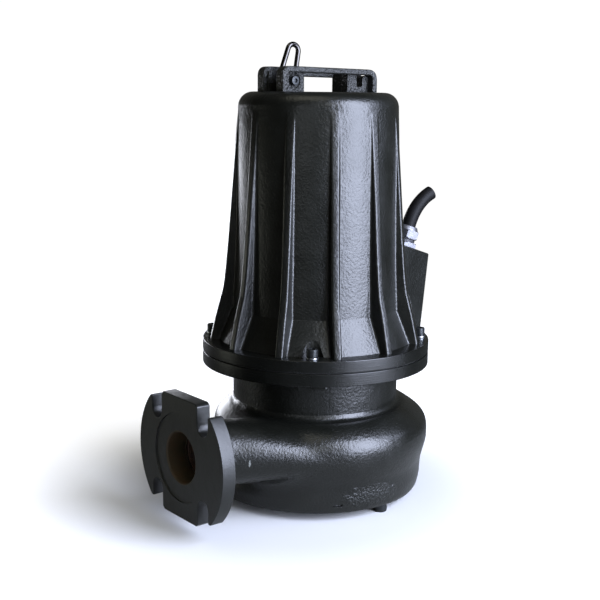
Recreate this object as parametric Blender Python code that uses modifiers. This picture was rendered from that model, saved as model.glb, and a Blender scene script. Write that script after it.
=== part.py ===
"""Submersible grinder pump that stands on its three foot screws.

Sizes are in metres. Every piece is placed from the empty called pump_axis, which
stands on the motor axis at the height of the casing's lower face. The discharge
points along -X, and the floor is one foot screw's height below the casing.
"""
import math

import bmesh
import bpy
from mathutils import Matrix, Vector

MM = 0.001
GAP = 0.3 * MM
ROUND_STEPS = 60
SMALL_STEPS = 20

# Place of the motor axis, so that the origin lies under the middle of the pump's box
AXIS_X = 33.3 * MM
AXIS_Y = 2.1 * MM
FOOT_HEIGHT = 10.0 * MM

# Motor cover
COVER_TOP = 454.2 * MM
DISH_FLOOR = 446.5 * MM
DISH_RADIUS = 76.0 * MM
RIM_RADIUS = 89.8 * MM
RIM_ROUND = 10.5 * MM
COVER_SIDE = ((90.3, 428.0), (89.4, 414.0), (88.0, 399.0), (86.6, 382.0), (85.8, 362.0),
              (85.7, 335.0))
CREASE_RADIUS = 87.5 * MM
CREASE_HEIGHT = 212.0 * MM
SKIRT_RADIUS = 119.5 * MM
RIB_COUNT = 12
RIB_FIRST_ANGLE = 5.0
RIB_THICKNESS = 9.5 * MM
RIB_ROOT_RADIUS = 70.0 * MM
RIB_EDGE = ((89.8, 426.0), (92.4, 384.0), (96.9, 335.0), (101.0, 284.0),
            (105.4, 236.0), (113.6, 204.0), (121.5, 173.0))

# Two-disc motor flange
FLANGE_RADIUS = 132.0 * MM
FLANGE_TOP = 173.8 * MM
FLANGE_SPLIT = 160.3 * MM
FLANGE_BOTTOM = 146.5 * MM
GASKET_HALF = 0.4 * MM
GASKET_OUTER = 130.5 * MM
GASKET_INNER = 100.0 * MM
NECK_RADIUS = 96.5 * MM
NECK_FOOT_RADIUS = 95.0 * MM
NECK_FOOT = 110.7 * MM
NECK_WAIST = 122.0 * MM
NECK_FLARE = ((99.5, 146.5), (97.5, 142.5))
PAD_WIDTH = 34.0 * MM
PAD_DEPTH = 4.3 * MM
PAD_INNER = 92.5 * MM
PAD_OUTER = 125.0 * MM
PAD_SINK = 2.0 * MM
SCREW_COUNT = 4
SCREW_CIRCLE = 121.5 * MM
SCREW_FIRST_ANGLE = 49.0
SPOTFACE_RADIUS = 15.0 * MM
SPOTFACE_TOP = 200.0 * MM
WASHER_RADIUS = 6.8 * MM
WASHER_THICKNESS = 2.0 * MM
SCREW_HOLE_RADIUS = 4.2 * MM
SCREW_HEAD_RADIUS = 6.2 * MM
SCREW_HEAD_HEIGHT = 8.8 * MM
SCREW_SOCKET_RADIUS = 3.5 * MM
SCREW_SOCKET_DEPTH = 5.0 * MM

# Volute casing: radius of the widest point grows from the tongue round to the nozzle
SHOULDER_RADIUS = 95.5 * MM
SPIRAL_START_ANGLE = 190.0
SPIRAL_START_RADIUS = 115.8 * MM
SPIRAL_GROWTH = 0.0728 * MM
SPIRAL_SWEEP = 338.0
CASING_SECTIONS = 60
BULGE_SHARES = ((0.0, 110.4), (0.03, 106.4), (0.09, 102.8), (0.2, 99.6), (0.35, 96.2),
                (0.5, 92.8), (0.65, 89.6), (0.8, 85.6), (0.9, 81.6), (0.97, 76.4),
                (1.0, 69.0), (0.985, 57.2), (0.88, 42.0))
BASE_RING = ((125.8, 15.0), (123.4, 3.0), (121.4, 0.0))
BASE_RING_RADIUS = 125.8 * MM
BLEND_HEIGHT = 31.0 * MM
BLEND_SHARE = 0.25

# Discharge nozzle and its flange
NOZZLE_Y = -28.5 * MM
NOZZLE_HEIGHT = 72.5 * MM
NOZZLE_REAR = 8.0 * MM
NOZZLE_SIDES = 36
NOZZLE_SECTIONS = ((-193.0, -64.5, 36.2, 108.6), (-172.0, -72.0, 36.0, 108.0),
                   (-150.0, -82.1, 35.5, 106.5), (-130.0, -91.4, 34.7, 104.0),
                   (-110.0, -100.8, 33.8, 100.5), (-85.0, -112.5, 32.6, 96.0),
                   (-62.0, -121.5, 32.0, 92.0), (-45.0, -122.0, 34.0, 90.0))
DISCHARGE_FACE_X = -207.5 * MM
DISCHARGE_THICKNESS = 16.2 * MM
DISCHARGE_RADIUS = 81.0 * MM
FACE_HALF_HEIGHT = 66.3 * MM
FACE_HALF_WIDTH = 31.0 * MM
SLOT_CENTRE = 44.2 * MM
SLOT_RADIUS = 9.5 * MM
SLOT_MOUTH_DROP = 3.0 * MM
RIM_END_ANGLE = 6.0
LOBE_HALF_HEIGHT = 57.0 * MM
RECESS_RADIUS = 48.0 * MM
RECESS_DEPTH = 1.5 * MM
BORE_RADIUS = 28.0 * MM
BORE_DEPTH = 25.0 * MM
THROAT_RADIUS = 25.0 * MM
THROAT_END_X = -60.0 * MM

# Underside
SUCTION_COVER_RADIUS = 100.0 * MM
SUCTION_COVER_THICKNESS = 4.0 * MM
SUCTION_HOLE_RADIUS = 34.0 * MM
CUTTER_POCKET_RADIUS = 44.3 * MM
CUTTER_POCKET_DEPTH = 16.0 * MM
CUTTER_RING_RADIUS = 44.0 * MM
CUTTER_RING_BORE = 30.0 * MM
CUTTER_RING_HEIGHT = 12.0 * MM
CUTTER_NOTCHES = 12
CUTTER_NOTCH_RADIUS = 3.0 * MM
ROTOR_HUB_RADIUS = 12.0 * MM
ROTOR_REACH = 29.2 * MM
ROTOR_BLADES = 3
ROTOR_BLADE_WIDTH = 12.0 * MM
ROTOR_BLADE_HEIGHT = 8.0 * MM
ROTOR_BLADE_BOTTOM = 1.0 * MM
CUTTER_SCREW_RADIUS = 7.5 * MM
CUTTER_SCREW_HEIGHT = 5.0 * MM
FOOT_ANGLES = (273.1, 33.1, 153.1)
FOOT_CIRCLE = 112.0 * MM
FOOT_RADIUS = 7.4 * MM
PRY_SLOT_ANGLE = 243.0
PRY_SLOT_SIZE = (10.5 * MM, 8.0 * MM, 2.8 * MM)
PRY_SLOT_HEIGHT = 9.5 * MM

# Cable box, gland and cable stub, placed in the plane that stands at this angle
BOX_ANGLE = -10.0
BOX_WIDTH = 56.0 * MM
BOX_ROOT = 80.0 * MM
BOX_TOP_OUTER = (138.1 * MM, 265.0 * MM)
BOX_FOOT_OUTER = (126.2 * MM, 172.0 * MM)
GLAND_LEAN = 18.0
GLAND_REACH = 119.0 * MM
GLAND_BASE_CORNER = 17.0 * MM
GLAND_BASE_HEIGHT = 7.5 * MM
GLAND_NECK_RADIUS = 12.6 * MM
GLAND_NECK_TOP = 11.8 * MM
GLAND_NUT_CORNER = 15.8 * MM
GLAND_NUT_HEX_TOP = 22.0 * MM
GLAND_TOP = 27.0 * MM
GLAND_CROWN_RADIUS = 11.0 * MM
GLAND_CROWN_FOOT = 13.0 * MM
CABLE_RADIUS = 8.5 * MM
CABLE_BORE = 8.8 * MM
CABLE_INSIDE = 24.5 * MM
CABLE_END = (159.0 * MM, 336.0 * MM)
CABLE_END_RISE = 42.0
CABLE_PULL = 18.0 * MM
CABLE_POINTS = 7

# Handle: two bows with the link cheeks and the notched lug between them
BOW_HALF_LENGTH = 69.0 * MM
BOW_TOP = 481.0 * MM
BOW_BAR = 7.7 * MM
BOW_LEG = 8.0 * MM
BOW_ROUND = 9.0 * MM
BOW_INNER_ROUND = 5.0 * MM
BOW_NEAR = 14.3 * MM
BOW_FAR = 23.3 * MM
LUG_HALF = 14.0 * MM
CHEEK_INNER = 8.0 * MM
CHEEK_EDGE_X = -32.0 * MM
CHEEK_FOOT_X = -60.0 * MM
CHEEK_FOOT_RISE = 5.5 * MM
CHEEK_ROUND = 11.0 * MM
CHEEK_CORNER = 2.0 * MM
LUG_LEFT_X = 30.5 * MM
LUG_RIGHT_X = 60.5 * MM
LUG_TOP = 474.5 * MM
NOTCH_LEFT_X = 44.3 * MM
NOTCH_RIGHT_X = 52.3 * MM
NOTCH_BOTTOM = 460.5 * MM
HORN_TOP = 470.5 * MM

# Lifting link on its pin
PIN_X = -46.0 * MM
PIN_HEIGHT = 466.0 * MM
PIN_RADIUS = 3.0 * MM
PIN_HOLE = 3.3 * MM
PIN_HEAD_RADIUS = 5.2 * MM
PIN_HEAD_HEIGHT = 5.0 * MM
PIN_NUT_CORNER = 5.8 * MM
PIN_NUT_HEIGHT = 5.0 * MM
BUSH_RADIUS = 7.2 * MM
LINK_WIRE = 2.9 * MM
LINK_FOOT_ROUND = 10.4 * MM
LINK_TOP_ROUND = 7.3 * MM
LINK_LENGTH = 39.5 * MM
LINK_LEAN = 14.0

FINISHES = {
    "painted_casting": ((0.012, 0.013, 0.015, 1.0), 0.42, 0.0),
    "machined_black": ((0.016, 0.017, 0.018, 1.0), 0.35, 0.0),
    "blackened_screw": ((0.03, 0.03, 0.032, 1.0), 0.32, 0.9),
    "zinc_steel": ((0.45, 0.46, 0.47, 1.0), 0.3, 1.0),
    "spring_wire": ((0.22, 0.23, 0.24, 1.0), 0.25, 1.0),
    "nickel_brass": ((0.75, 0.74, 0.71, 1.0), 0.2, 1.0),
    "tool_steel": ((0.30, 0.30, 0.31, 1.0), 0.3, 1.0),
    "gasket_rubber": ((0.01, 0.01, 0.01, 1.0), 0.7, 0.0),
    "cable_rubber": ((0.015, 0.015, 0.016, 1.0), 0.6, 0.0),
}


def clear_scene():
    """Remove the objects that the scene starts with."""
    for item in list(bpy.context.scene.objects):
        bpy.data.objects.remove(item, do_unlink=True)


def make_collection(name):
    collection = bpy.data.collections.new(name)
    bpy.context.scene.collection.children.link(collection)
    return collection


def make_finish(name):
    """Principled material of one named finish."""
    colour, roughness, metallic = FINISHES[name]
    finish = bpy.data.materials.new(name)
    finish.use_nodes = True
    shader = finish.node_tree.nodes["Principled BSDF"]
    shader.inputs["Base Color"].default_value = colour
    shader.inputs["Roughness"].default_value = roughness
    shader.inputs["Metallic"].default_value = metallic
    return finish


def polar(radius, angle, height=0.0):
    """Point at a radius and an angle in degrees about the motor axis."""
    turn = math.radians(angle)
    return Vector((radius * math.cos(turn), radius * math.sin(turn), height))


def arc(centre, radius, start, end, steps):
    """Points of an arc from start to end, in degrees, both ends included."""
    points = []
    for i in range(steps + 1):
        turn = math.radians(start + (end - start) * i / steps)
        points.append((centre[0] + radius * math.cos(turn), centre[1] + radius * math.sin(turn)))
    return points


class Workshop:
    """Makes solids under the pump's axis, each from one of Blender's own tools."""

    def __init__(self):
        self.parts = make_collection("grinder_pump")
        self.cutters = make_collection("cutters")
        self.axis = bpy.data.objects.new("pump_axis", None)
        self.axis.location = (AXIS_X, AXIS_Y, FOOT_HEIGHT)
        self.parts.objects.link(self.axis)
        self.finishes = {}

    def place(self, name, mesh, finish=None, matrix=None):
        """Put a mesh in the scene as a part, or as a cutter where it has no finish."""
        item = bpy.data.objects.new(name, mesh)
        item.parent = self.axis
        if matrix is not None:
            item.matrix_local = matrix
        if finish is None:
            item.hide_render = True
            item.display_type = "WIRE"
            self.cutters.objects.link(item)
            return item
        if finish not in self.finishes:
            self.finishes[finish] = make_finish(finish)
        mesh.materials.append(self.finishes[finish])
        self.parts.objects.link(item)
        return item

    def turned(self, name, profile, finish=None, matrix=None, steps=ROUND_STEPS, closed=False):
        """Solid of revolution from a profile of radius and height, top to bottom."""
        mesh = bpy.data.meshes.new(name)
        edges = [(i, i + 1) for i in range(len(profile) - 1)]
        if closed:
            edges.append((len(profile) - 1, 0))
        mesh.from_pydata([(r, 0.0, z) for r, z in profile], edges, [])
        item = self.place(name, mesh, finish, matrix)
        screw = item.modifiers.new("turn", "SCREW")
        screw.axis = "Z"
        screw.steps = steps
        screw.render_steps = steps
        screw.use_merge_vertices = True
        screw.merge_threshold = 0.00001
        return item

    def drum(self, name, radius, low, high, finish=None, matrix=None, steps=SMALL_STEPS):
        """Upright cylinder, or a prism where it has few sides."""
        shape = bmesh.new()
        bmesh.ops.create_cone(shape, cap_ends=True, segments=steps, radius1=radius,
                              radius2=radius, depth=high - low)
        bmesh.ops.translate(shape, vec=(0.0, 0.0, (high + low) / 2), verts=shape.verts)
        return self.finish_shape(name, shape, finish, matrix)

    def block(self, name, low, high, finish=None, matrix=None):
        """Box between two corners."""
        shape = bmesh.new()
        bmesh.ops.create_cube(shape, size=1.0)
        size = [b - a for a, b in zip(low, high)]
        middle = [(a + b) / 2 for a, b in zip(low, high)]
        bmesh.ops.scale(shape, vec=size, verts=shape.verts)
        bmesh.ops.translate(shape, vec=middle, verts=shape.verts)
        return self.finish_shape(name, shape, finish, matrix)

    def finish_shape(self, name, shape, finish, matrix):
        mesh = bpy.data.meshes.new(name)
        shape.to_mesh(mesh)
        shape.free()
        return self.place(name, mesh, finish, matrix)

    def curve_mesh(self, name, curve):
        """Welded mesh of a curve, which goes away afterwards."""
        guide = bpy.data.objects.new(name + "_guide", curve)
        self.cutters.objects.link(guide)
        graph = bpy.context.evaluated_depsgraph_get()
        mesh = bpy.data.meshes.new_from_object(guide.evaluated_get(graph))
        bpy.data.objects.remove(guide, do_unlink=True)
        shape = bmesh.new()
        shape.from_mesh(mesh)
        bmesh.ops.remove_doubles(shape, verts=shape.verts, dist=0.00001)
        bmesh.ops.recalc_face_normals(shape, faces=shape.faces)
        shape.to_mesh(mesh)
        shape.free()
        mesh.name = name
        return mesh

    def cut_out(self, name, outline, thickness, finish=None, matrix=None):
        """Flat outline extruded to a thickness, half to each side of its plane."""
        curve = bpy.data.curves.new(name, "CURVE")
        curve.dimensions = "2D"
        curve.fill_mode = "BOTH"
        curve.extrude = thickness / 2
        spline = curve.splines.new("POLY")
        spline.points.add(len(outline) - 1)
        for point, (x, y) in zip(spline.points, outline):
            point.co = (x, y, 0.0, 1.0)
        spline.use_cyclic_u = True
        return self.place(name, self.curve_mesh(name, curve), finish, matrix)

    def rod(self, name, points, radius, finish, matrix=None, cyclic=False, sides=3):
        """Round bar along a row of points."""
        curve = bpy.data.curves.new(name, "CURVE")
        curve.dimensions = "3D"
        curve.bevel_depth = radius
        curve.bevel_resolution = sides
        curve.use_fill_caps = True
        spline = curve.splines.new("POLY")
        spline.points.add(len(points) - 1)
        for point, place in zip(spline.points, points):
            point.co = (*place, 1.0)
        spline.use_cyclic_u = cyclic
        return self.place(name, self.curve_mesh(name, curve), finish, matrix)

    def combine(self, item, other, operation):
        """Exact Boolean of a part with a cutter."""
        step = item.modifiers.new(other.name, "BOOLEAN")
        step.operation = operation
        step.solver = "EXACT"
        step.object = other

    def cut(self, item, *others):
        for other in others:
            self.combine(item, other, "DIFFERENCE")

    def fuse(self, item, *others):
        for other in others:
            self.combine(item, other, "UNION")


def upright_plane(angle=0.0, shift=0.0):
    """Turn an outline drawn in x and y into the upright plane at an angle."""
    return (Matrix.Rotation(math.radians(angle), 4, "Z")
            @ Matrix.Translation((0.0, shift, 0.0))
            @ Matrix.Rotation(math.radians(90.0), 4, "X"))


def across_plane(x, y, z):
    """Turn an outline drawn in x and y into the plane that faces along X."""
    return Matrix(((0.0, 0.0, 1.0, x), (1.0, 0.0, 0.0, y), (0.0, 1.0, 0.0, z), (0.0, 0.0, 0.0, 1.0)))


def along_y(x, z):
    """Stand an upright solid on the link's pin axis, its top towards the front."""
    return Matrix.Translation((x, 0.0, z)) @ Matrix.Rotation(math.radians(90.0), 4, "X")


def screw_angles():
    return [SCREW_FIRST_ANGLE + 360.0 * k / SCREW_COUNT for k in range(SCREW_COUNT)]


def make_motor_cover(shop):
    """Ribbed bell over the motor, with its flange disc and its cable box cast on."""
    rim_centre = (RIM_RADIUS - RIM_ROUND, COVER_TOP - RIM_ROUND)
    profile = [(0.0, DISH_FLOOR), (DISH_RADIUS, DISH_FLOOR)]
    profile += arc(rim_centre, RIM_ROUND, 90.0, 0.0, 4)
    profile += [(r * MM, z * MM) for r, z in COVER_SIDE]
    profile += [(CREASE_RADIUS, CREASE_HEIGHT), (SKIRT_RADIUS, FLANGE_TOP),
                (FLANGE_RADIUS, FLANGE_TOP), (FLANGE_RADIUS, FLANGE_SPLIT + GASKET_HALF + GAP),
                (0.0, FLANGE_SPLIT + GASKET_HALF + GAP)]
    cover = shop.turned("motor_cover", profile, "painted_casting")
    for k in range(RIB_COUNT):
        angle = RIB_FIRST_ANGLE + 360.0 * k / RIB_COUNT
        outline = [(r * MM, z * MM) for r, z in RIB_EDGE]
        outline += [(RIB_ROOT_RADIUS, RIB_EDGE[-1][1] * MM), (RIB_ROOT_RADIUS, RIB_EDGE[0][1] * MM)]
        rib = shop.cut_out(f"rib_{k + 1}", outline, RIB_THICKNESS, None, upright_plane(angle))
        shop.fuse(cover, rib)
    shop.fuse(cover, make_cable_box(shop))
    for k, angle in enumerate(screw_angles()):
        pocket = shop.drum(f"spotface_{k + 1}", SPOTFACE_RADIUS, FLANGE_TOP, SPOTFACE_TOP, None,
                           Matrix.Translation(polar(SCREW_CIRCLE, angle)), 24)
        shop.cut(cover, pocket)
    bore = shop.drum("cable_bore", CABLE_BORE, -CABLE_INSIDE - 2 * GAP, GLAND_TOP, None,
                     gland_frame(), 16)
    shop.cut(cover, bore)
    return cover


def make_cable_box(shop):
    """Wedge-topped box that stands on the flange between two ribs."""
    rise = (BOX_TOP_OUTER[0] - BOX_ROOT) * math.tan(math.radians(GLAND_LEAN))
    outline = [BOX_FOOT_OUTER, BOX_TOP_OUTER, (BOX_ROOT, BOX_TOP_OUTER[1] + rise),
               (BOX_ROOT, BOX_FOOT_OUTER[1])]
    return shop.cut_out("cable_box", outline, BOX_WIDTH, None, upright_plane(BOX_ANGLE))


def gland_seat():
    """Middle of the gland's seat on the box top, as reach and height in the box plane."""
    drop = (BOX_TOP_OUTER[0] - GLAND_REACH) * math.tan(math.radians(GLAND_LEAN))
    return GLAND_REACH, BOX_TOP_OUTER[1] + drop


def gland_frame():
    """Matrix that stands an upright solid on the gland's seat, square to the box top."""
    reach, height = gland_seat()
    return (Matrix.Rotation(math.radians(BOX_ANGLE), 4, "Z")
            @ Matrix.Translation((reach, 0.0, height))
            @ Matrix.Rotation(math.radians(GLAND_LEAN), 4, "Y"))


def make_gland(shop):
    """Gland body with its hexagon and neck, and the crowned nut above it."""
    bore = shop.drum("gland_bore", CABLE_BORE, -GAP, GLAND_TOP + GAP, None, gland_frame(), 16)
    body = shop.drum("gland_body", GLAND_BASE_CORNER, GAP, GLAND_BASE_HEIGHT, "nickel_brass",
                     gland_frame(), 6)
    neck = shop.drum("gland_neck", GLAND_NECK_RADIUS, GLAND_BASE_HEIGHT / 2, GLAND_NECK_TOP, None,
                     gland_frame(), 24)
    shop.fuse(body, neck)
    shop.cut(body, bore)
    nut = shop.drum("gland_nut", GLAND_NUT_CORNER, GLAND_NECK_TOP + GAP, GLAND_NUT_HEX_TOP,
                    "nickel_brass", gland_frame(), 6)
    crown = shop.turned("gland_crown", [(0.0, GLAND_TOP), (GLAND_CROWN_RADIUS, GLAND_TOP),
                                        (GLAND_CROWN_FOOT, GLAND_NUT_HEX_TOP - MM),
                                        (0.0, GLAND_NUT_HEX_TOP - MM)], None, gland_frame(), 24)
    shop.fuse(nut, crown)
    shop.cut(nut, bore)


def cable_route():
    """Points along the cable, from inside the box, through the gland and out to its end."""
    lean = math.radians(GLAND_LEAN)
    rise = math.radians(CABLE_END_RISE)
    seat = Vector(gland_seat())
    upward = Vector((math.sin(lean), math.cos(lean)))
    outward = Vector((math.cos(rise), math.sin(rise)))
    inner_end = seat - upward * CABLE_INSIDE
    mouth = seat + upward * GLAND_TOP
    end = Vector(CABLE_END)
    route = [inner_end, seat]
    for i in range(CABLE_POINTS + 1):
        t = i / CABLE_POINTS
        route.append(mouth * (1 - t) ** 3 + (mouth + upward * CABLE_PULL) * 3 * t * (1 - t) ** 2
                     + (end - outward * CABLE_PULL) * 3 * t ** 2 * (1 - t) + end * t ** 3)
    return [(point.x, 0.0, point.y) for point in route]


def make_cable(shop):
    """Short stub of the power cable."""
    shop.rod("power_cable", cable_route(), CABLE_RADIUS, "cable_rubber",
             Matrix.Rotation(math.radians(BOX_ANGLE), 4, "Z"), False, 3)


def make_flange_fittings(shop):
    """Gasket between the two discs, and the four socket screws with their spring washers."""
    shop.turned("flange_gasket", [(GASKET_INNER, FLANGE_SPLIT + GASKET_HALF),
                                  (GASKET_OUTER, FLANGE_SPLIT + GASKET_HALF),
                                  (GASKET_OUTER, FLANGE_SPLIT - GASKET_HALF),
                                  (GASKET_INNER, FLANGE_SPLIT - GASKET_HALF)],
                "gasket_rubber", None, ROUND_STEPS, True)
    head_low = FLANGE_TOP + WASHER_THICKNESS + 2 * GAP
    head_high = head_low + SCREW_HEAD_HEIGHT
    for k, angle in enumerate(screw_angles()):
        spot = Matrix.Translation(polar(SCREW_CIRCLE, angle))
        washer = shop.drum(f"spring_washer_{k + 1}", WASHER_RADIUS, FLANGE_TOP + GAP,
                           FLANGE_TOP + GAP + WASHER_THICKNESS, "zinc_steel", spot)
        hole = shop.drum(f"washer_hole_{k + 1}", SCREW_HOLE_RADIUS, FLANGE_TOP - MM, head_low, None,
                         spot, 12)
        shop.cut(washer, hole)
        screw = shop.drum(f"flange_screw_{k + 1}", SCREW_HEAD_RADIUS, head_low, head_high,
                          "zinc_steel", spot)
        socket = shop.drum(f"screw_socket_{k + 1}", SCREW_SOCKET_RADIUS,
                           head_high - SCREW_SOCKET_DEPTH, head_high + MM, None, spot, 6)
        shop.cut(screw, socket)


def make_oil_chamber(shop):
    """Lower disc with its neck and the pads under the four screws."""
    top = FLANGE_SPLIT - GASKET_HALF - GAP
    profile = [(0.0, top), (FLANGE_RADIUS, top), (FLANGE_RADIUS, FLANGE_BOTTOM)]
    profile += [(r * MM, z * MM) for r, z in NECK_FLARE]
    profile += [(NECK_RADIUS, NECK_WAIST), (NECK_FOOT_RADIUS, NECK_FOOT), (0.0, NECK_FOOT)]
    chamber = shop.turned("oil_chamber", profile, "painted_casting")
    for k, angle in enumerate(screw_angles()):
        pad = shop.block(f"screw_pad_{k + 1}",
                         (PAD_INNER, -PAD_WIDTH / 2, FLANGE_BOTTOM - PAD_DEPTH),
                         (PAD_OUTER, PAD_WIDTH / 2, FLANGE_BOTTOM + PAD_SINK), None,
                         Matrix.Rotation(math.radians(angle), 4, "Z"))
        shop.fuse(chamber, pad)


def bulge_radius(angle):
    """Widest radius of the volute at an angle: a spiral that drops back behind the nozzle."""
    turn = (SPIRAL_START_ANGLE - angle) % 360.0
    if turn <= SPIRAL_SWEEP:
        return SPIRAL_START_RADIUS + SPIRAL_GROWTH * turn
    share = (turn - SPIRAL_SWEEP) / (360.0 - SPIRAL_SWEEP)
    ease = share * share * (3.0 - 2.0 * share)
    return SPIRAL_START_RADIUS + SPIRAL_GROWTH * SPIRAL_SWEEP * (1.0 - ease)


def casing_section(angle):
    """Outer profile of the casing at an angle, as radius and height, top to bottom."""
    bulge = bulge_radius(angle) - SHOULDER_RADIUS
    section = [(SHOULDER_RADIUS + share * bulge, z * MM) for share, z in BULGE_SHARES]
    blend = section[-1][0] * BLEND_SHARE + BASE_RING_RADIUS * (1.0 - BLEND_SHARE)
    section.append((blend, BLEND_HEIGHT))
    section += [(r * MM, z * MM) for r, z in BASE_RING]
    return section


def make_casing_body(shop):
    """Loft of the volute's sections about the axis, closed by a fan at the top and bottom."""
    shape = bmesh.new()
    rings = []
    for i in range(CASING_SECTIONS):
        angle = 360.0 * i / CASING_SECTIONS
        rings.append([shape.verts.new(polar(r, angle, z)) for r, z in casing_section(angle)])
    for ring, following in zip(rings, rings[1:] + rings[:1]):
        for k in range(len(ring) - 1):
            shape.faces.new((ring[k], ring[k + 1], following[k + 1], following[k]))
    shape.faces.new([ring[0] for ring in rings])
    shape.faces.new([ring[-1] for ring in reversed(rings)])
    bmesh.ops.recalc_face_normals(shape, faces=shape.faces)
    return shop.finish_shape("volute_casing", shape, "painted_casting", None)


def make_nozzle(shop):
    """Loft of ellipses from the discharge flange into the volute, which it leaves tangentially."""
    shape = bmesh.new()
    rings = []
    for x, front, low, high in NOZZLE_SECTIONS:
        front *= MM
        reach = (NOZZLE_REAR - front) / 2
        rise = (high - low) / 2 * MM
        rings.append([shape.verts.new((x * MM, front + reach + reach * math.cos(turn),
                                       low * MM + rise + rise * math.sin(turn)))
                      for turn in (math.tau * i / NOZZLE_SIDES for i in range(NOZZLE_SIDES))])
    for ring, following in zip(rings, rings[1:]):
        for k in range(NOZZLE_SIDES):
            after = (k + 1) % NOZZLE_SIDES
            shape.faces.new((ring[k], ring[after], following[after], following[k]))
    shape.faces.new(rings[0])
    shape.faces.new(rings[-1])
    bmesh.ops.recalc_face_normals(shape, faces=shape.faces)
    return shop.finish_shape("nozzle", shape, None, None)


def flange_outline():
    """Outline of the discharge flange: four bolt slots open to the top and bottom."""
    lobe_y = math.sqrt(DISCHARGE_RADIUS ** 2 - LOBE_HALF_HEIGHT ** 2)
    lobe_angle = math.degrees(math.asin(LOBE_HALF_HEIGHT / DISCHARGE_RADIUS))
    quarter = [(FACE_HALF_WIDTH, FACE_HALF_HEIGHT),
               (SLOT_CENTRE - SLOT_RADIUS, FACE_HALF_HEIGHT - SLOT_MOUTH_DROP)]
    quarter += arc((SLOT_CENTRE, SLOT_CENTRE), SLOT_RADIUS, 180.0, 360.0, 8)
    quarter += [(SLOT_CENTRE + SLOT_RADIUS, LOBE_HALF_HEIGHT), (lobe_y, LOBE_HALF_HEIGHT)]
    quarter += arc((0.0, 0.0), DISCHARGE_RADIUS, lobe_angle - RIM_END_ANGLE, RIM_END_ANGLE, 5)
    lower = [(y, -z) for y, z in reversed(quarter)]
    right = quarter + lower
    left = [(-y, z) for y, z in reversed(right)]
    return right + left


def make_volute_casing(shop):
    """Volute with its nozzle, slotted flange and bore, and the cutter pocket below."""
    casing = make_casing_body(shop)
    to_left = (Matrix.Translation((0.0, NOZZLE_Y, NOZZLE_HEIGHT))
               @ Matrix.Rotation(math.radians(-90.0), 4, "Y"))
    flange = shop.cut_out("discharge_flange", flange_outline(), DISCHARGE_THICKNESS, None,
                          across_plane(DISCHARGE_FACE_X + DISCHARGE_THICKNESS / 2, NOZZLE_Y,
                                       NOZZLE_HEIGHT))
    shop.fuse(casing, make_nozzle(shop), flange)
    face = -DISCHARGE_FACE_X
    recess = shop.drum("face_recess", RECESS_RADIUS, face - RECESS_DEPTH, face + MM, None, to_left, 40)
    bore = shop.drum("discharge_bore", BORE_RADIUS, face - BORE_DEPTH, face + MM, None, to_left, 36)
    throat = shop.drum("throat", THROAT_RADIUS, -THROAT_END_X, face - BORE_DEPTH + MM, None, to_left, 36)
    pocket = shop.drum("cutter_pocket", CUTTER_POCKET_RADIUS, -MM, CUTTER_POCKET_DEPTH, None, None, 48)
    width, depth, height = PRY_SLOT_SIZE
    pry = shop.block("pry_slot", (-depth / 2, -width / 2, -height / 2),
                     (depth / 2, width / 2, height / 2), None,
                     Matrix.Translation(polar(BASE_RING_RADIUS, PRY_SLOT_ANGLE, PRY_SLOT_HEIGHT))
                     @ Matrix.Rotation(math.radians(PRY_SLOT_ANGLE), 4, "Z"))
    shop.cut(casing, recess, bore, throat, pocket, pry)


def make_underside(shop):
    """Suction cover, cutter ring and rotor, and the three foot screws."""
    shop.turned("suction_cover", [(SUCTION_HOLE_RADIUS, -GAP), (SUCTION_COVER_RADIUS, -GAP),
                                  (SUCTION_COVER_RADIUS, -GAP - SUCTION_COVER_THICKNESS),
                                  (SUCTION_HOLE_RADIUS, -GAP - SUCTION_COVER_THICKNESS)],
                "painted_casting", None, ROUND_STEPS, True)
    ring = shop.turned("cutter_ring", [(CUTTER_RING_BORE, CUTTER_RING_HEIGHT),
                                       (CUTTER_RING_RADIUS, CUTTER_RING_HEIGHT),
                                       (CUTTER_RING_RADIUS, 0.0), (CUTTER_RING_BORE, 0.0)],
                       "tool_steel", None, 48, True)
    for k in range(CUTTER_NOTCHES):
        notch = shop.drum(f"cutter_notch_{k + 1}", CUTTER_NOTCH_RADIUS, -MM, CUTTER_RING_HEIGHT + MM,
                          None, Matrix.Translation(polar(CUTTER_RING_BORE, 360.0 * k / CUTTER_NOTCHES)),
                          10)
        shop.cut(ring, notch)
    rotor = shop.drum("cutter_rotor", ROTOR_HUB_RADIUS, 0.0, CUTTER_POCKET_DEPTH - GAP, "tool_steel",
                      None, 24)
    for k in range(ROTOR_BLADES):
        blade = shop.block(f"rotor_blade_{k + 1}", (0.0, -ROTOR_BLADE_WIDTH / 2, ROTOR_BLADE_BOTTOM),
                           (ROTOR_REACH - MM, ROTOR_BLADE_WIDTH / 2,
                            ROTOR_BLADE_BOTTOM + ROTOR_BLADE_HEIGHT), None,
                           Matrix.Rotation(math.radians(360.0 * k / ROTOR_BLADES), 4, "Z"))
        shop.fuse(rotor, blade)
    shop.drum("cutter_screw", CUTTER_SCREW_RADIUS, -GAP - CUTTER_SCREW_HEIGHT, -GAP, "zinc_steel",
              None, 6)
    for k, angle in enumerate(FOOT_ANGLES):
        shop.drum(f"foot_screw_{k + 1}", FOOT_RADIUS, -FOOT_HEIGHT, -GAP, "blackened_screw",
                  Matrix.Translation(polar(FOOT_CIRCLE, angle)))


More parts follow.
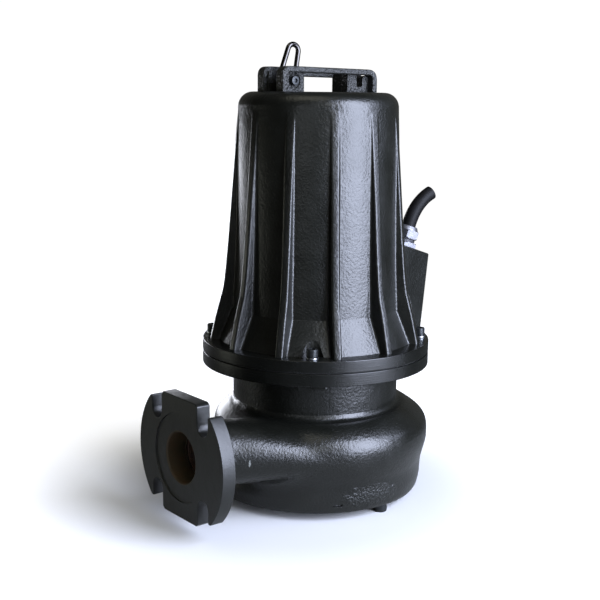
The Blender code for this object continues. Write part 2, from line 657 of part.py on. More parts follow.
def bow_outline():
    """Arch with rounded corners, outer side first."""
    foot = DISH_FLOOR + GAP
    half = BOW_HALF_LENGTH
    outer_y = BOW_TOP - BOW_ROUND
    outer_x = half - BOW_ROUND
    inner = half - BOW_LEG
    inner_x = inner - BOW_INNER_ROUND
    inner_y = BOW_TOP - BOW_BAR - BOW_INNER_ROUND
    outline = [(half, foot)]
    outline += arc((outer_x, outer_y), BOW_ROUND, 0.0, 90.0, 5)
    outline += arc((-outer_x, outer_y), BOW_ROUND, 90.0, 180.0, 5)
    outline += [(-half, foot), (-inner, foot)]
    outline += arc((-inner_x, inner_y), BOW_INNER_ROUND, 180.0, 90.0, 3)
    outline += arc((inner_x, inner_y), BOW_INNER_ROUND, 90.0, 0.0, 3)
    outline.append((inner, foot))
    return outline


def cheek_outline():
    """Link cheek: a round nose about the pin on a wider foot."""
    foot = DISH_FLOOR + GAP
    outline = [(CHEEK_FOOT_X, foot), (CHEEK_EDGE_X, foot),
               (CHEEK_EDGE_X, PIN_HEIGHT + CHEEK_ROUND - CHEEK_CORNER),
               (CHEEK_EDGE_X - CHEEK_CORNER, PIN_HEIGHT + CHEEK_ROUND)]
    outline += arc((PIN_X, PIN_HEIGHT), CHEEK_ROUND, 90.0, 230.0, 8)
    outline.append((CHEEK_FOOT_X, foot + CHEEK_FOOT_RISE))
    return outline


def lug_outline():
    """Notched lug: a square shoulder, a notch and a rounded horn."""
    foot = DISH_FLOOR + GAP
    horn_round = (LUG_RIGHT_X - NOTCH_RIGHT_X) / 2
    notch_round = (NOTCH_RIGHT_X - NOTCH_LEFT_X) / 2
    outline = [(LUG_LEFT_X, foot), (LUG_RIGHT_X, foot)]
    outline += arc((NOTCH_RIGHT_X + horn_round, HORN_TOP - horn_round), horn_round, 0.0, 180.0, 6)
    outline += arc((NOTCH_LEFT_X + notch_round, NOTCH_BOTTOM + notch_round), notch_round, 0.0, -180.0, 6)
    outline += [(NOTCH_LEFT_X, LUG_TOP), (LUG_LEFT_X, LUG_TOP)]
    return outline


def make_handle(shop):
    """Two bows, two link cheeks and the notched lug, all standing in the dished top."""
    bow_middle = (BOW_NEAR + BOW_FAR) / 2
    cheek_middle = (CHEEK_INNER + LUG_HALF) / 2
    hole = shop.drum("pin_hole", PIN_HOLE, -LUG_HALF - MM, LUG_HALF + MM, None,
                     along_y(PIN_X, PIN_HEIGHT), 16)
    for side, sign in (("front", -1.0), ("rear", 1.0)):
        shop.cut_out(f"handle_bow_{side}", bow_outline(), BOW_FAR - BOW_NEAR, "painted_casting",
                     upright_plane(0.0, sign * bow_middle))
        cheek = shop.cut_out(f"link_cheek_{side}", cheek_outline(), LUG_HALF - CHEEK_INNER,
                             "painted_casting", upright_plane(0.0, sign * cheek_middle))
        shop.cut(cheek, hole)
    shop.cut_out("notched_lug", lug_outline(), 2 * LUG_HALF, "painted_casting", upright_plane())


def make_pin(shop):
    """Headed pin with its nut, and the bush that the link turns on."""
    seat = along_y(PIN_X, PIN_HEIGHT)
    pin = shop.drum("link_pin", PIN_RADIUS, -LUG_HALF - PIN_NUT_HEIGHT - GAP, LUG_HALF + 2 * MM,
                    "zinc_steel", seat, 16)
    head = shop.drum("pin_head", PIN_HEAD_RADIUS, LUG_HALF + GAP, LUG_HALF + GAP + PIN_HEAD_HEIGHT,
                     None, seat)
    socket = shop.drum("pin_socket", PIN_RADIUS, LUG_HALF + GAP + PIN_HEAD_HEIGHT / 2,
                       LUG_HALF + 2 * PIN_HEAD_HEIGHT, None, seat, 6)
    shop.fuse(pin, head)
    shop.cut(pin, socket)
    nut = shop.drum("link_pin_nut", PIN_NUT_CORNER, -LUG_HALF - GAP - PIN_NUT_HEIGHT, -LUG_HALF - GAP,
                    "zinc_steel", seat, 6)
    bush = shop.drum("link_bush", BUSH_RADIUS, -CHEEK_INNER + GAP, CHEEK_INNER - GAP, "zinc_steel",
                     seat, 24)
    hole = shop.drum("pin_clearance", PIN_HOLE, -LUG_HALF - 2 * PIN_NUT_HEIGHT, LUG_HALF, None, seat, 16)
    shop.cut(nut, hole)
    shop.cut(bush, hole)


def link_route():
    """Closed row of points: round the bush, up both legs and over the narrow top."""
    top_y = LINK_LENGTH - LINK_TOP_ROUND
    spread = math.degrees(math.asin((LINK_FOOT_ROUND - LINK_TOP_ROUND) / top_y))
    ring = arc((0.0, 0.0), LINK_FOOT_ROUND, 180.0 - spread, 360.0 + spread, 14)
    ring += arc((0.0, top_y), LINK_TOP_ROUND, spread, 180.0 - spread, 9)
    return [(x, 0.0, z) for x, z in ring]


def make_link(shop):
    """Steel wire link, its origin on the pin's axis."""
    lean = (Matrix.Translation((PIN_X, 0.0, PIN_HEIGHT))
            @ Matrix.Rotation(math.radians(LINK_LEAN), 4, "Y"))
    shop.rod("lifting_link", link_route(), LINK_WIRE, "spring_wire", lean, True, 3)


def build_pump():
    """Make every piece of the pump."""
    clear_scene()
    shop = Workshop()
    make_motor_cover(shop)
    make_gland(shop)
    make_cable(shop)
    make_flange_fittings(shop)
    make_oil_chamber(shop)
    make_volute_casing(shop)
    make_underside(shop)
    make_handle(shop)
    make_pin(shop)
    make_link(shop)


build_pump()
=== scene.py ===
"""Looks of the submersible grinder pump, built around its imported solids.

Sizes inside the classes are in millimetres, counted from the motor axis at the
height of the casing's lower face. Bench turns them into the frame's metres.
"""

import logging
import math
from dataclasses import dataclass, replace
from enum import Enum
from typing import Optional, Sequence, Union

import bmesh
import bpy
import numpy as np
from mathutils import Matrix, Vector


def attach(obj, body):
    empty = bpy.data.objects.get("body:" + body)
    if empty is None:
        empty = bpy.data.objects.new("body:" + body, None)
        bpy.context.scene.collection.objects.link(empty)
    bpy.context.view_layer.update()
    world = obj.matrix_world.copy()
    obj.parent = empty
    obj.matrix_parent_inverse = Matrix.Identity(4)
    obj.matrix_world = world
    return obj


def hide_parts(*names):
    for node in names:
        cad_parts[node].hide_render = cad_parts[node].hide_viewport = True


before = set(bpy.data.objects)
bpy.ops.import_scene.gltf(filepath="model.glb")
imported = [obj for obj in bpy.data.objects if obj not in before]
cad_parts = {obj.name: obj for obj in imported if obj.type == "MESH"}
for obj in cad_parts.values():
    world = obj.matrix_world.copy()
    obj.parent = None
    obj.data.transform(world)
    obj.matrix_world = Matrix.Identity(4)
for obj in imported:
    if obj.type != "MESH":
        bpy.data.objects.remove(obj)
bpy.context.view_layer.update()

MM = 0.001
AXIS = Vector((33.3, 2.1, 10.0))
PUMP = "pump"
LINK = "link"
SCREW_CIRCLE = 121.5
SCREW_ANGLES = (49.0, 139.0, 229.0, 319.0)
DISC_RADIUS = 132.0
LOG = logging.getLogger("grinder_pump")

Point = tuple[float, float]
Profile = Sequence[Point]
Socket = bpy.types.NodeSocket
Value = Union[float, Sequence[float], Socket]


class Slot(Enum):
    """Material slots of the record, one named in each finish."""

    BLACK = "black_paint"
    SCREW = "dark_screw"
    ZINC = "zinc_steel"
    WIRE = "link_steel"
    NICKEL = "nickel"
    RUBBER = "cable_rubber"


def linear(code: str) -> tuple[float, float, float, float]:
    """Turn an sRGB hex colour into linear red, green, blue and alpha.

    Args:
        code: Six hex digits, with or without a hash.

    Returns:
        The colour as four linear values.
    """
    digits = code.lstrip("#")
    channels = [int(digits[i:i + 2], 16) / 255.0 for i in (0, 2, 4)]
    values = [c / 12.92 if c <= 0.04045 else ((c + 0.055) / 1.055) ** 2.4 for c in channels]
    return values[0], values[1], values[2], 1.0


def add_object(name: str, data: bpy.types.ID) -> bpy.types.Object:
    """Put a new object with its data into the scene."""
    item = bpy.data.objects.new(name, data)
    bpy.context.scene.collection.objects.link(item)
    return item


def feed(tree: bpy.types.NodeTree, node: bpy.types.Node, inputs: dict) -> None:
    """Set a node's inputs.

    Args:
        tree: Node tree that holds the node.
        node: The node.
        inputs: By name or number, a constant or the output that feeds the input.
    """
    for name, value in inputs.items():
        if isinstance(value, Socket):
            tree.links.new(value, node.inputs[name])
        else:
            node.inputs[name].default_value = value


def add_node(tree: bpy.types.NodeTree, kind: str, settings: Optional[dict] = None,
             inputs: Optional[dict] = None) -> bpy.types.Node:
    """Add a node with its settings and inputs.

    Args:
        tree: Node tree that takes the node.
        kind: Blender's node type.
        settings: Attributes of the node.
        inputs: Constants and outputs, as feed takes them.

    Returns:
        The new node.
    """
    node = tree.nodes.new(kind)
    for name, value in (settings or {}).items():
        setattr(node, name, value)
    feed(tree, node, inputs or {})
    return node


class Wiring:
    """Short forms of the nodes that the materials share, in one node tree."""

    def __init__(self, tree: bpy.types.NodeTree, coordinates: str = "Object") -> None:
        """Start with the tree and the coordinates that its patterns follow."""
        self.tree = tree
        self.place = add_node(tree, "ShaderNodeTexCoord").outputs[coordinates]

    def noise(self, scale: float, detail: float) -> Socket:
        """Noise with a number of grains to the metre."""
        return add_node(self.tree, "ShaderNodeTexNoise", None,
                        {"Vector": self.place, "Scale": scale, "Detail": detail}).outputs["Fac"]

    def ramp(self, value: Value, start: float, end: float, low: float = 0.0, high: float = 1.0,
             ease: str = "SMOOTHSTEP") -> Socket:
        """Carry a value from the span start to end over to the span low to high."""
        return add_node(self.tree, "ShaderNodeMapRange", {"interpolation_type": ease},
                        {"Value": value, "From Min": start, "From Max": end, "To Min": low,
                         "To Max": high}).outputs["Result"]

    def math(self, operation: str, first: Value, second: Value) -> Socket:
        """Join two numbers."""
        return add_node(self.tree, "ShaderNodeMath", {"operation": operation},
                        {0: first, 1: second}).outputs[0]

    def vector(self, operation: str, first: Value, second: Value = (0.0, 0.0, 0.0)) -> Socket:
        """Join two vectors into a vector or, by length, distance or product, a number."""
        node = add_node(self.tree, "ShaderNodeVectorMath", {"operation": operation},
                        {0: first, 1: second})
        number = operation in ("LENGTH", "DISTANCE", "DOT_PRODUCT")
        return node.outputs["Value" if number else "Vector"]

    def blend(self, factor: Value, first: Value, second: Value) -> Socket:
        """Blend from the first colour to the second."""
        return add_node(self.tree, "ShaderNodeMix", {"data_type": "RGBA"},
                        {"Factor": factor, 6: first, 7: second}).outputs[2]


@dataclass(frozen=True)
class Grain:
    """One layer of surface relief: its grain size and height in millimetres."""

    size: float
    height: float
    detail: float = 2.0


@dataclass(frozen=True)
class Mark:
    """A spot where a surface differs, as an ellipsoid in the piece's own millimetres."""

    centre: tuple[float, float, float]
    reach: tuple[float, float, float]
    colour: str = ""
    grain: Optional[Grain] = None

    def mask(self, wiring: Wiring) -> Socket:
        """Fade from one inside the spot to nought outside, with a ragged edge.

        Args:
            wiring: Nodes of the material.

        Returns:
            The mask.
        """
        away = wiring.vector("SUBTRACT", wiring.place, [c * MM for c in self.centre])
        share = wiring.vector("DIVIDE", away, [r * MM for r in self.reach])
        ragged = wiring.math("ADD", wiring.vector("LENGTH", share), wiring.noise(130.0, 2.0))
        return wiring.ramp(ragged, 1.5, 1.1)


@dataclass(frozen=True)
class Finish:
    """A surface as it was made, with the values that match the real one.

    Attributes:
        name: What the surface is.
        colour: Its main colour.
        worn: Its second colour, in clouds.
        roughness: Roughness outside and inside the clouds.
        metallic: One for bare metal.
        patch: Size of the clouds in millimetres.
        grains: Layers of relief.
        turning: Distance of the lathe's lines in millimetres, or nought.
        turning_height: Height of those lines in millimetres.
        marks: Spots that differ.
        specular: Strength of the highlight.
        slot: Slot of the record for the surface; not used.
    """

    name: str
    colour: str
    worn: str
    roughness: tuple[float, float]
    metallic: float = 0.0
    patch: float = 30.0
    grains: tuple[Grain, ...] = ()
    turning: float = 0.0
    turning_height: float = 0.0
    marks: tuple[Mark, ...] = ()
    specular: float = 0.5
    slot: Slot = Slot.BLACK

    def build(self) -> bpy.types.Material:
        """Make the material's nodes.

        Returns:
            The material.
        """
        material = bpy.data.materials.new(self.name)
        material.use_nodes = True
        tree = material.node_tree
        wiring = Wiring(tree)
        clouds = wiring.noise(1.0 / (self.patch * MM), 4.0)
        colour = wiring.blend(wiring.ramp(clouds, 0.35, 0.7, ease="LINEAR"),
                              linear(self.colour), linear(self.worn))
        for mark in self.marks:
            if mark.colour:
                colour = wiring.blend(mark.mask(wiring), colour, linear(mark.colour))
        shader = tree.nodes["Principled BSDF"]
        feed(tree, shader, {
            "Metallic": self.metallic, "Specular IOR Level": self.specular, "Base Color": colour,
            "Roughness": wiring.ramp(clouds, 0.3, 0.7, *self.roughness, ease="LINEAR")})
        normal = self.relief(wiring)
        if normal is not None:
            feed(tree, shader, {"Normal": normal})
        return material

    def relief(self, wiring: Wiring) -> Optional[Socket]:
        """Chain the bumps of the grain layers and the turning marks.

        Args:
            wiring: Nodes of the material.

        Returns:
            The last bump's normal, or nothing for a bare surface.
        """
        normal = None
        for grain in self.grains:
            normal = self.bump(wiring, self.skin(wiring, grain), grain.height, normal)
        for mark in self.marks:
            if mark.grain is not None:
                rough = wiring.math("MULTIPLY", self.skin(wiring, mark.grain), mark.mask(wiring))
                normal = self.bump(wiring, rough, mark.grain.height, normal)
        if self.turning:
            level = wiring.vector("MULTIPLY", wiring.place, (1.0, 1.0, 0.0))
            parts = add_node(wiring.tree, "ShaderNodeSeparateXYZ", None, {0: wiring.place})
            spot = wiring.math("ADD", wiring.vector("LENGTH", level), parts.outputs[2])
            lines = add_node(wiring.tree, "ShaderNodeTexNoise", {"noise_dimensions": "1D"},
                             {"Scale": 1.0 / (self.turning * MM), "Detail": 1.0, "W": spot})
            normal = self.bump(wiring, lines.outputs["Fac"], self.turning_height, normal)
        return normal

    @staticmethod
    def skin(wiring: Wiring, grain: Grain) -> Socket:
        """Noise of one layer of grain."""
        return wiring.noise(1.0 / (grain.size * MM), grain.detail)

    @staticmethod
    def bump(wiring: Wiring, height: Socket, size: float, normal: Optional[Socket]) -> Socket:
        """Add one bump in millimetres on top of the layers before it."""
        inputs = {"Strength": 1.0, "Distance": size * MM, "Height": height}
        if normal is not None:
            inputs["Normal"] = normal
        return add_node(wiring.tree, "ShaderNodeBump", None, inputs).outputs["Normal"]


# Epoxy enamel sprayed over sand-cast iron: satin black, with the grain of the mould
# showing through as a soft orange peel.
CAST_ENAMEL = Finish("enamelled_sand_cast_iron", "#0c0d0a", "#121310", (0.28, 0.35), patch=35.0,
                     grains=(Grain(17.0, 0.35, 1.0), Grain(2.8, 0.42, 2.5)))
# The casing's casting: the same, with a rough patch where sand broke from the mould, low on
# the front, and a painted highlight beside the nozzle: a short light grey streak where the
# nozzle's front catches the light.
CASING_ENAMEL = replace(CAST_ENAMEL, name="enamelled_casing_iron", marks=(
    Mark((-20.0, -123.0, 18.0), (46.0, 18.0, 14.0), grain=Grain(2.8, 1.1, 3.0)),
    # Painted highlight: light grey streak on the nozzle's front.
    Mark((-153.0, -81.0, 69.0), (1.3, 5.0, 5.0), colour="#6d6f6c")))
# The handle's castings: the same, duller and with the coarser skin of a small mould.
HANDLE_ENAMEL = replace(CAST_ENAMEL, name="enamelled_handle_iron", colour="#1f201d",
                        roughness=(0.36, 0.44), grains=(Grain(9.0, 0.8, 1.0), Grain(2.4, 2.0, 3.0)))
# The same enamel over turned iron: smoother, with the lathe's feed lines under it. The
# real feed of 0.2 mm is too fine to show, so the lines are drawn at about 1 mm.
TURNED_ENAMEL = Finish("enamelled_turned_iron", "#070806", "#0b0c0a", (0.23, 0.29), patch=50.0,
                       grains=(Grain(20.0, 0.25, 1.0),), turning=1.1, turning_height=0.05)
# Enamel over a milled face: dull grey-black with a light dusting.
FACED_ENAMEL = Finish("enamelled_faced_iron", "#131412", "#1b1c1a", (0.36, 0.46), patch=45.0,
                      grains=(Grain(12.0, 0.3, 2.0), Grain(2.5, 0.06, 2.0)))
# Bare bored iron with a brown film of rust and preserving oil.
BORED_IRON = Finish("oiled_bored_iron", "#3b3526", "#4d3a25", (0.42, 0.6), patch=14.0,
                    grains=(Grain(5.0, 0.2, 3.0),))
RUSTY_IRON = Finish("rusty_threaded_iron", "#3a2115", "#5a3a24", (0.55, 0.75), patch=6.0,
                    grains=(Grain(2.5, 0.3, 4.0),))
# Bare edge that the tool left bright between the bore and the thread.
BRIGHT_EDGE = Finish("bright_cut_iron", "#a8a69c", "#8c8a80", (0.25, 0.35), 1.0, 6.0,
                     slot=Slot.ZINC)
# Zinc-plated steel: bright with soft clouds of passivation.
ZINC = Finish("zinc_plated_steel", "#b4b6b8", "#a2a5a8", (0.24, 0.34), 1.0, 5.0,
              (Grain(1.5, 0.02, 2.0),), slot=Slot.ZINC)
# Blackened cap screw used as a foot.
BLACK_SCREW = Finish("blackened_steel", "#3a3c3d", "#2e3031", (0.30, 0.42), 0.8, 6.0,
                     (Grain(1.6, 0.03, 2.0),), slot=Slot.SCREW)
# Drawn stainless wire: smooth and dark, with draw marks too fine to see.
DRAWN_WIRE = Finish("drawn_stainless_wire", "#4c4a48", "#3d3b3a", (0.11, 0.16), 1.0, 8.0,
                    (Grain(4.0, 0.05, 2.0),), slot=Slot.WIRE)
# Nickel-plated brass, dulled by handling.
NICKEL = Finish("nickel_plated_brass", "#77777b", "#6c6c70", (0.48, 0.56), 1.0, 7.0,
                (Grain(3.0, 0.02, 1.0),), slot=Slot.NICKEL)
# Hardened tool steel, ground: grey with a fine satin.
GROUND_STEEL = Finish("ground_tool_steel", "#8b8c8d", "#77797b", (0.28, 0.4), 1.0, 9.0,
                      (Grain(1.2, 0.02, 2.0),))
# Graphite gasket sheet: dull black edge.
GASKET_SHEET = Finish("graphite_gasket", "#101110", "#191a19", (0.7, 0.85), patch=4.0)
# Neoprene cable sheath: matt, with faint bloom.
SHEATH = Finish("neoprene_sheath", "#080808", "#0d0c0d", (0.50, 0.60), patch=12.0,
                grains=(Grain(2.2, 0.05, 2.0),), specular=0.15, slot=Slot.RUBBER)


def smooth_line(points: Profile, steps: int = 6) -> list[Point]:
    """Run a Catmull-Rom curve through a row of points.

    Args:
        points: Points of any dimension.
        steps: Parts of each span.

    Returns:
        The denser row, ends included.
    """
    row = np.asarray(points, float)
    padded = np.vstack([2 * row[0] - row[1], row, 2 * row[-1] - row[-2]])
    out = []
    for i in range(len(row) - 1):
        a, b, c, d = padded[i:i + 4]
        for k in range(steps):
            t = k / steps
            out.append(0.5 * (2 * b + (c - a) * t + (2 * a - 5 * b + 4 * c - d) * t * t
                              + (3 * b - a - 3 * c + d) * t ** 3))
    out.append(row[-1])
    return [tuple(float(v) for v in p) for p in out]


def rounded(points: Profile, radii: Sequence[float], closed: bool = False,
            steps: int = 4) -> list[Point]:
    """Round the corners of a polyline.

    Args:
        points: Corners in the plane.
        radii: A radius for each corner; nought keeps it sharp.
        closed: Whether the line closes on itself.
        steps: Parts of each arc.

    Returns:
        The points with arcs in place of the corners.
    """
    out: list[Point] = []
    count = len(points)
    for i, (point, radius) in enumerate(zip(points, radii)):
        if radius <= 0 or (not closed and i in (0, count - 1)):
            out.append((float(point[0]), float(point[1])))
            continue
        here = Vector(point)
        back = Vector(points[i - 1]) - here
        ahead = Vector(points[(i + 1) % count]) - here
        half = back.angle(ahead) / 2
        reach = min(radius / math.tan(half), back.length * 0.48, ahead.length * 0.48)
        start = here + back.normalized() * reach
        end = here + ahead.normalized() * reach
        for k in range(steps + 1):
            t = k / steps
            spot = start * (1 - t) ** 2 + here * 2 * t * (1 - t) + end * t * t
            out.append((spot.x, spot.y))
    return out


def arc(centre: Point, radius: float, start: float, end: float, steps: int) -> list[Point]:
    """Points of an arc in degrees, both ends included."""
    turns = [math.radians(start + (end - start) * i / steps) for i in range(steps + 1)]
    return [(centre[0] + radius * math.cos(t), centre[1] + radius * math.sin(t)) for t in turns]


def rectangle(left: float, right: float, first: float, last: float) -> list[Point]:
    """Corners of a rectangle, those at the first height first."""
    return [(left, first), (right, first), (right, last), (left, last)]


def hexagon(corner: float) -> list[Point]:
    """Hexagon by the distance of its corners."""
    return arc((0.0, 0.0), corner, 0.0, 300.0, 5)


def spin(angle: float, axis: str = "Z") -> Matrix:
    """Rotation by an angle in degrees."""
    return Matrix.Rotation(math.radians(angle), 4, axis)


def shift(x: float = 0.0, y: float = 0.0, z: float = 0.0) -> Matrix:
    """Translation in millimetres."""
    return Matrix.Translation((x, y, z))


class Bench:
    def __init__(self) -> None:
        """Start with no materials made."""
        self.materials: dict[str, bpy.types.Material] = {}

    def material(self, finish: Finish) -> bpy.types.Material:
        """Return the finish's material, made once."""
        if finish.name not in self.materials:
            self.materials[finish.name] = finish.build()
        return self.materials[finish.name]

    def mesh(self, name: str, points: np.ndarray, faces: Sequence[Sequence[int]],
             sharp: float = 35.0) -> bpy.types.Object:
        """Make an object from points in millimetres.

        Args:
            name: Name of the piece.
            points: Array of points.
            faces: Corner numbers of each face.
            sharp: Angle in degrees above which an edge stays sharp.

        Returns:
            The object, which isn't handed over yet.
        """
        data = bpy.data.meshes.new(name)
        data.from_pydata((np.asarray(points, float) * MM).tolist(), [], [tuple(f) for f in faces])
        shape = bmesh.new()
        shape.from_mesh(data)
        bmesh.ops.recalc_face_normals(shape, faces=shape.faces)
        shape.to_mesh(data)
        shape.free()
        self.shade(data, sharp)
        return add_object(name, data)

    @staticmethod
    def shade(data: bpy.types.Mesh, sharp: float) -> None:
        """Shade a mesh smooth but for its sharp edges."""
        data.shade_smooth()
        data.set_sharp_from_angle(angle=math.radians(sharp))

    def lathe(self, name: str, profile: Profile, steps: int = 128,
              ring: bool = False) -> bpy.types.Object:
        """Turn a profile of radius and height round the upright axis.

        Args:
            name: Name of the piece.
            profile: Radius and height of each point.
            steps: Parts of the full turn.
            ring: Whether the profile closes on itself away from the axis.

        Returns:
            The object.
        """
        row = np.asarray(profile, float)
        turns = np.arange(steps) * math.tau / steps
        points = np.stack([np.outer(np.cos(turns), row[:, 0]), np.outer(np.sin(turns), row[:, 0]),
                           np.tile(row[:, 1], (steps, 1))], -1).reshape(-1, 3)
        return self.mesh(name, points, self.grid_faces(steps, len(row), ring))

    @staticmethod
    def grid_faces(rows: int, columns: int, ring: bool = False) -> list[tuple[int, ...]]:
        """Quads of a grid whose rows close on themselves.

        Args:
            rows: Number of rows.
            columns: Points in each row.
            ring: Whether the columns close too; otherwise both ends are capped.

        Returns:
            The faces.
        """
        faces: list[tuple[int, ...]] = []
        last = columns if ring else columns - 1
        for i in range(rows):
            after = (i + 1) % rows
            for k in range(last):
                step = (k + 1) % columns
                faces.append((i * columns + k, i * columns + step, after * columns + step,
                              after * columns + k))
        if not ring:
            faces.append(tuple(i * columns for i in range(rows)))
            faces.append(tuple(i * columns + columns - 1 for i in reversed(range(rows))))
        return faces

    def prism(self, name: str, outline: Profile, low: float, high: float,
              bevel: float = 0.0) -> bpy.types.Object:
        """Extrude an outline between two heights, with its edges rounded.

        Args:
            name: Name of the piece.
            outline: Closed outline in the plane.
            low: Lower height.
            high: Upper height.
            bevel: Radius of the edges.

        Returns:
            The object.
        """
        count = len(outline)
        points = [(x, y, low) for x, y in outline] + [(x, y, high) for x, y in outline]
        faces: list[Sequence[int]] = [tuple(range(count)),
                                      tuple(range(2 * count - 1, count - 1, -1))]
        faces += [(i, (i + 1) % count, count + (i + 1) % count, count + i) for i in range(count)]
        item = self.mesh(name, np.array(points), faces)
        if bevel:
            self.round_edges(item, bevel)
        return item

    def wire(self, name: str, path: Profile, radius: float, sides: int = 24) -> bpy.types.Object:
        """Sweep a circle along a closed line in the plane of X and Z.

        Args:
            name: Name of the piece.
            path: Points in millimetres.
            radius: Radius of the wire.
            sides: Sides of the circle.

        Returns:
            The object.
        """
        row = np.array([(x, 0.0, z) for x, z in path])
        ahead = np.roll(row, -1, 0) - np.roll(row, 1, 0)
        ahead /= np.linalg.norm(ahead, axis=1)[:, None]
        across = np.array([0.0, 1.0, 0.0])
        up = np.cross(ahead, across)
        turns = [math.tau * k / sides for k in range(sides)]
        rings = [row + radius * (math.cos(turn) * up + math.sin(turn) * across) for turn in turns]
        return self.mesh(name, np.stack(rings).reshape(-1, 3),
                         self.grid_faces(sides, len(row), True))

    @staticmethod
    def round_edges(item: bpy.types.Object, radius: float) -> None:
        """Bevel the edges that turn by more than 40 degrees."""
        bevel = item.modifiers.new("rounded_edges", "BEVEL")
        bevel.width = radius * MM
        bevel.segments = 2
        bevel.limit_method = "ANGLE"
        bevel.angle_limit = math.radians(40.0)
        bevel.use_clamp_overlap = True
        bevel.harden_normals = True

    def settle(self, item: bpy.types.Object, sharp: float = 35.0) -> bpy.types.Object:
        """Apply the modifiers of an object to its mesh."""
        graph = bpy.context.evaluated_depsgraph_get()
        data = bpy.data.meshes.new_from_object(item.evaluated_get(graph))
        item.modifiers.clear()
        item.data = data
        self.shade(data, sharp)
        return item

    def carve(self, item: bpy.types.Object, tools: Sequence[bpy.types.Object],
              operation: str = "DIFFERENCE", sharp: float = 35.0) -> bpy.types.Object:
        """Cut tools out of a piece, or weld them on, and drop the tools.

        Args:
            item: Piece to change.
            tools: Solids in place over it.
            operation: Boolean operation.
            sharp: Angle in degrees above which an edge stays sharp.

        Returns:
            The piece.
        """
        for tool in tools:
            step = item.modifiers.new("tool", "BOOLEAN")
            step.operation = operation
            step.solver = "EXACT"
            step.object = tool
        self.settle(item, sharp)
        for tool in tools:
            bpy.data.objects.remove(tool, do_unlink=True)
        return item

    @staticmethod
    def pose(item: bpy.types.Object, place: Matrix) -> bpy.types.Object:
        """Stand an object at a place in millimetres, before it is cut or handed over."""
        metres = place.copy()
        metres.translation = place.translation * MM
        item.matrix_world = metres
        return item

    def hand_over(self, item: bpy.types.Object, finish: Finish, stands_for: str = "",
                  place: Optional[Matrix] = None, body: str = PUMP) -> None:
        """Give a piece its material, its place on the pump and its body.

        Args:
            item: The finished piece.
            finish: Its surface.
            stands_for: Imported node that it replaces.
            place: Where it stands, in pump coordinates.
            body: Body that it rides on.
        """
        if place is not None:
            self.pose(item, place)
        item.data.materials.clear()
        item.data.materials.append(self.material(finish))
        shade = item.modifiers.new("flat_faces", "WEIGHTED_NORMAL")
        shade.keep_sharp = True
        item.matrix_world = Matrix.Translation(AXIS * MM) @ item.matrix_world
        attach(item, body)
        if stands_for:
            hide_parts(stands_for)
        LOG.info("%s rides on %s", item.name, body)

    def dress_node(self, node: str, finish: Finish, bevel: float = 0.0) -> None:
        """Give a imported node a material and, where its edges show, rounded edges."""
        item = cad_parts[node]
        item.data.materials.clear()
        item.data.materials.append(self.material(finish))
        if bevel:
            self.round_edges(item, bevel)
        LOG.info("%s keeps its packed shape", node)


def upright(x: float = 0.0, y: float = 0.0, z: float = 0.0) -> Matrix:
    """Place of a solid whose top is turned towards the front."""
    return shift(x, y, z) @ spin(90.0, "X")


def outlet() -> Matrix:
    """Place of an upright solid that stands on the nozzle's axis, its top outwards."""
    return shift(0.0, -28.5, 72.5) @ spin(-90.0, "Y")


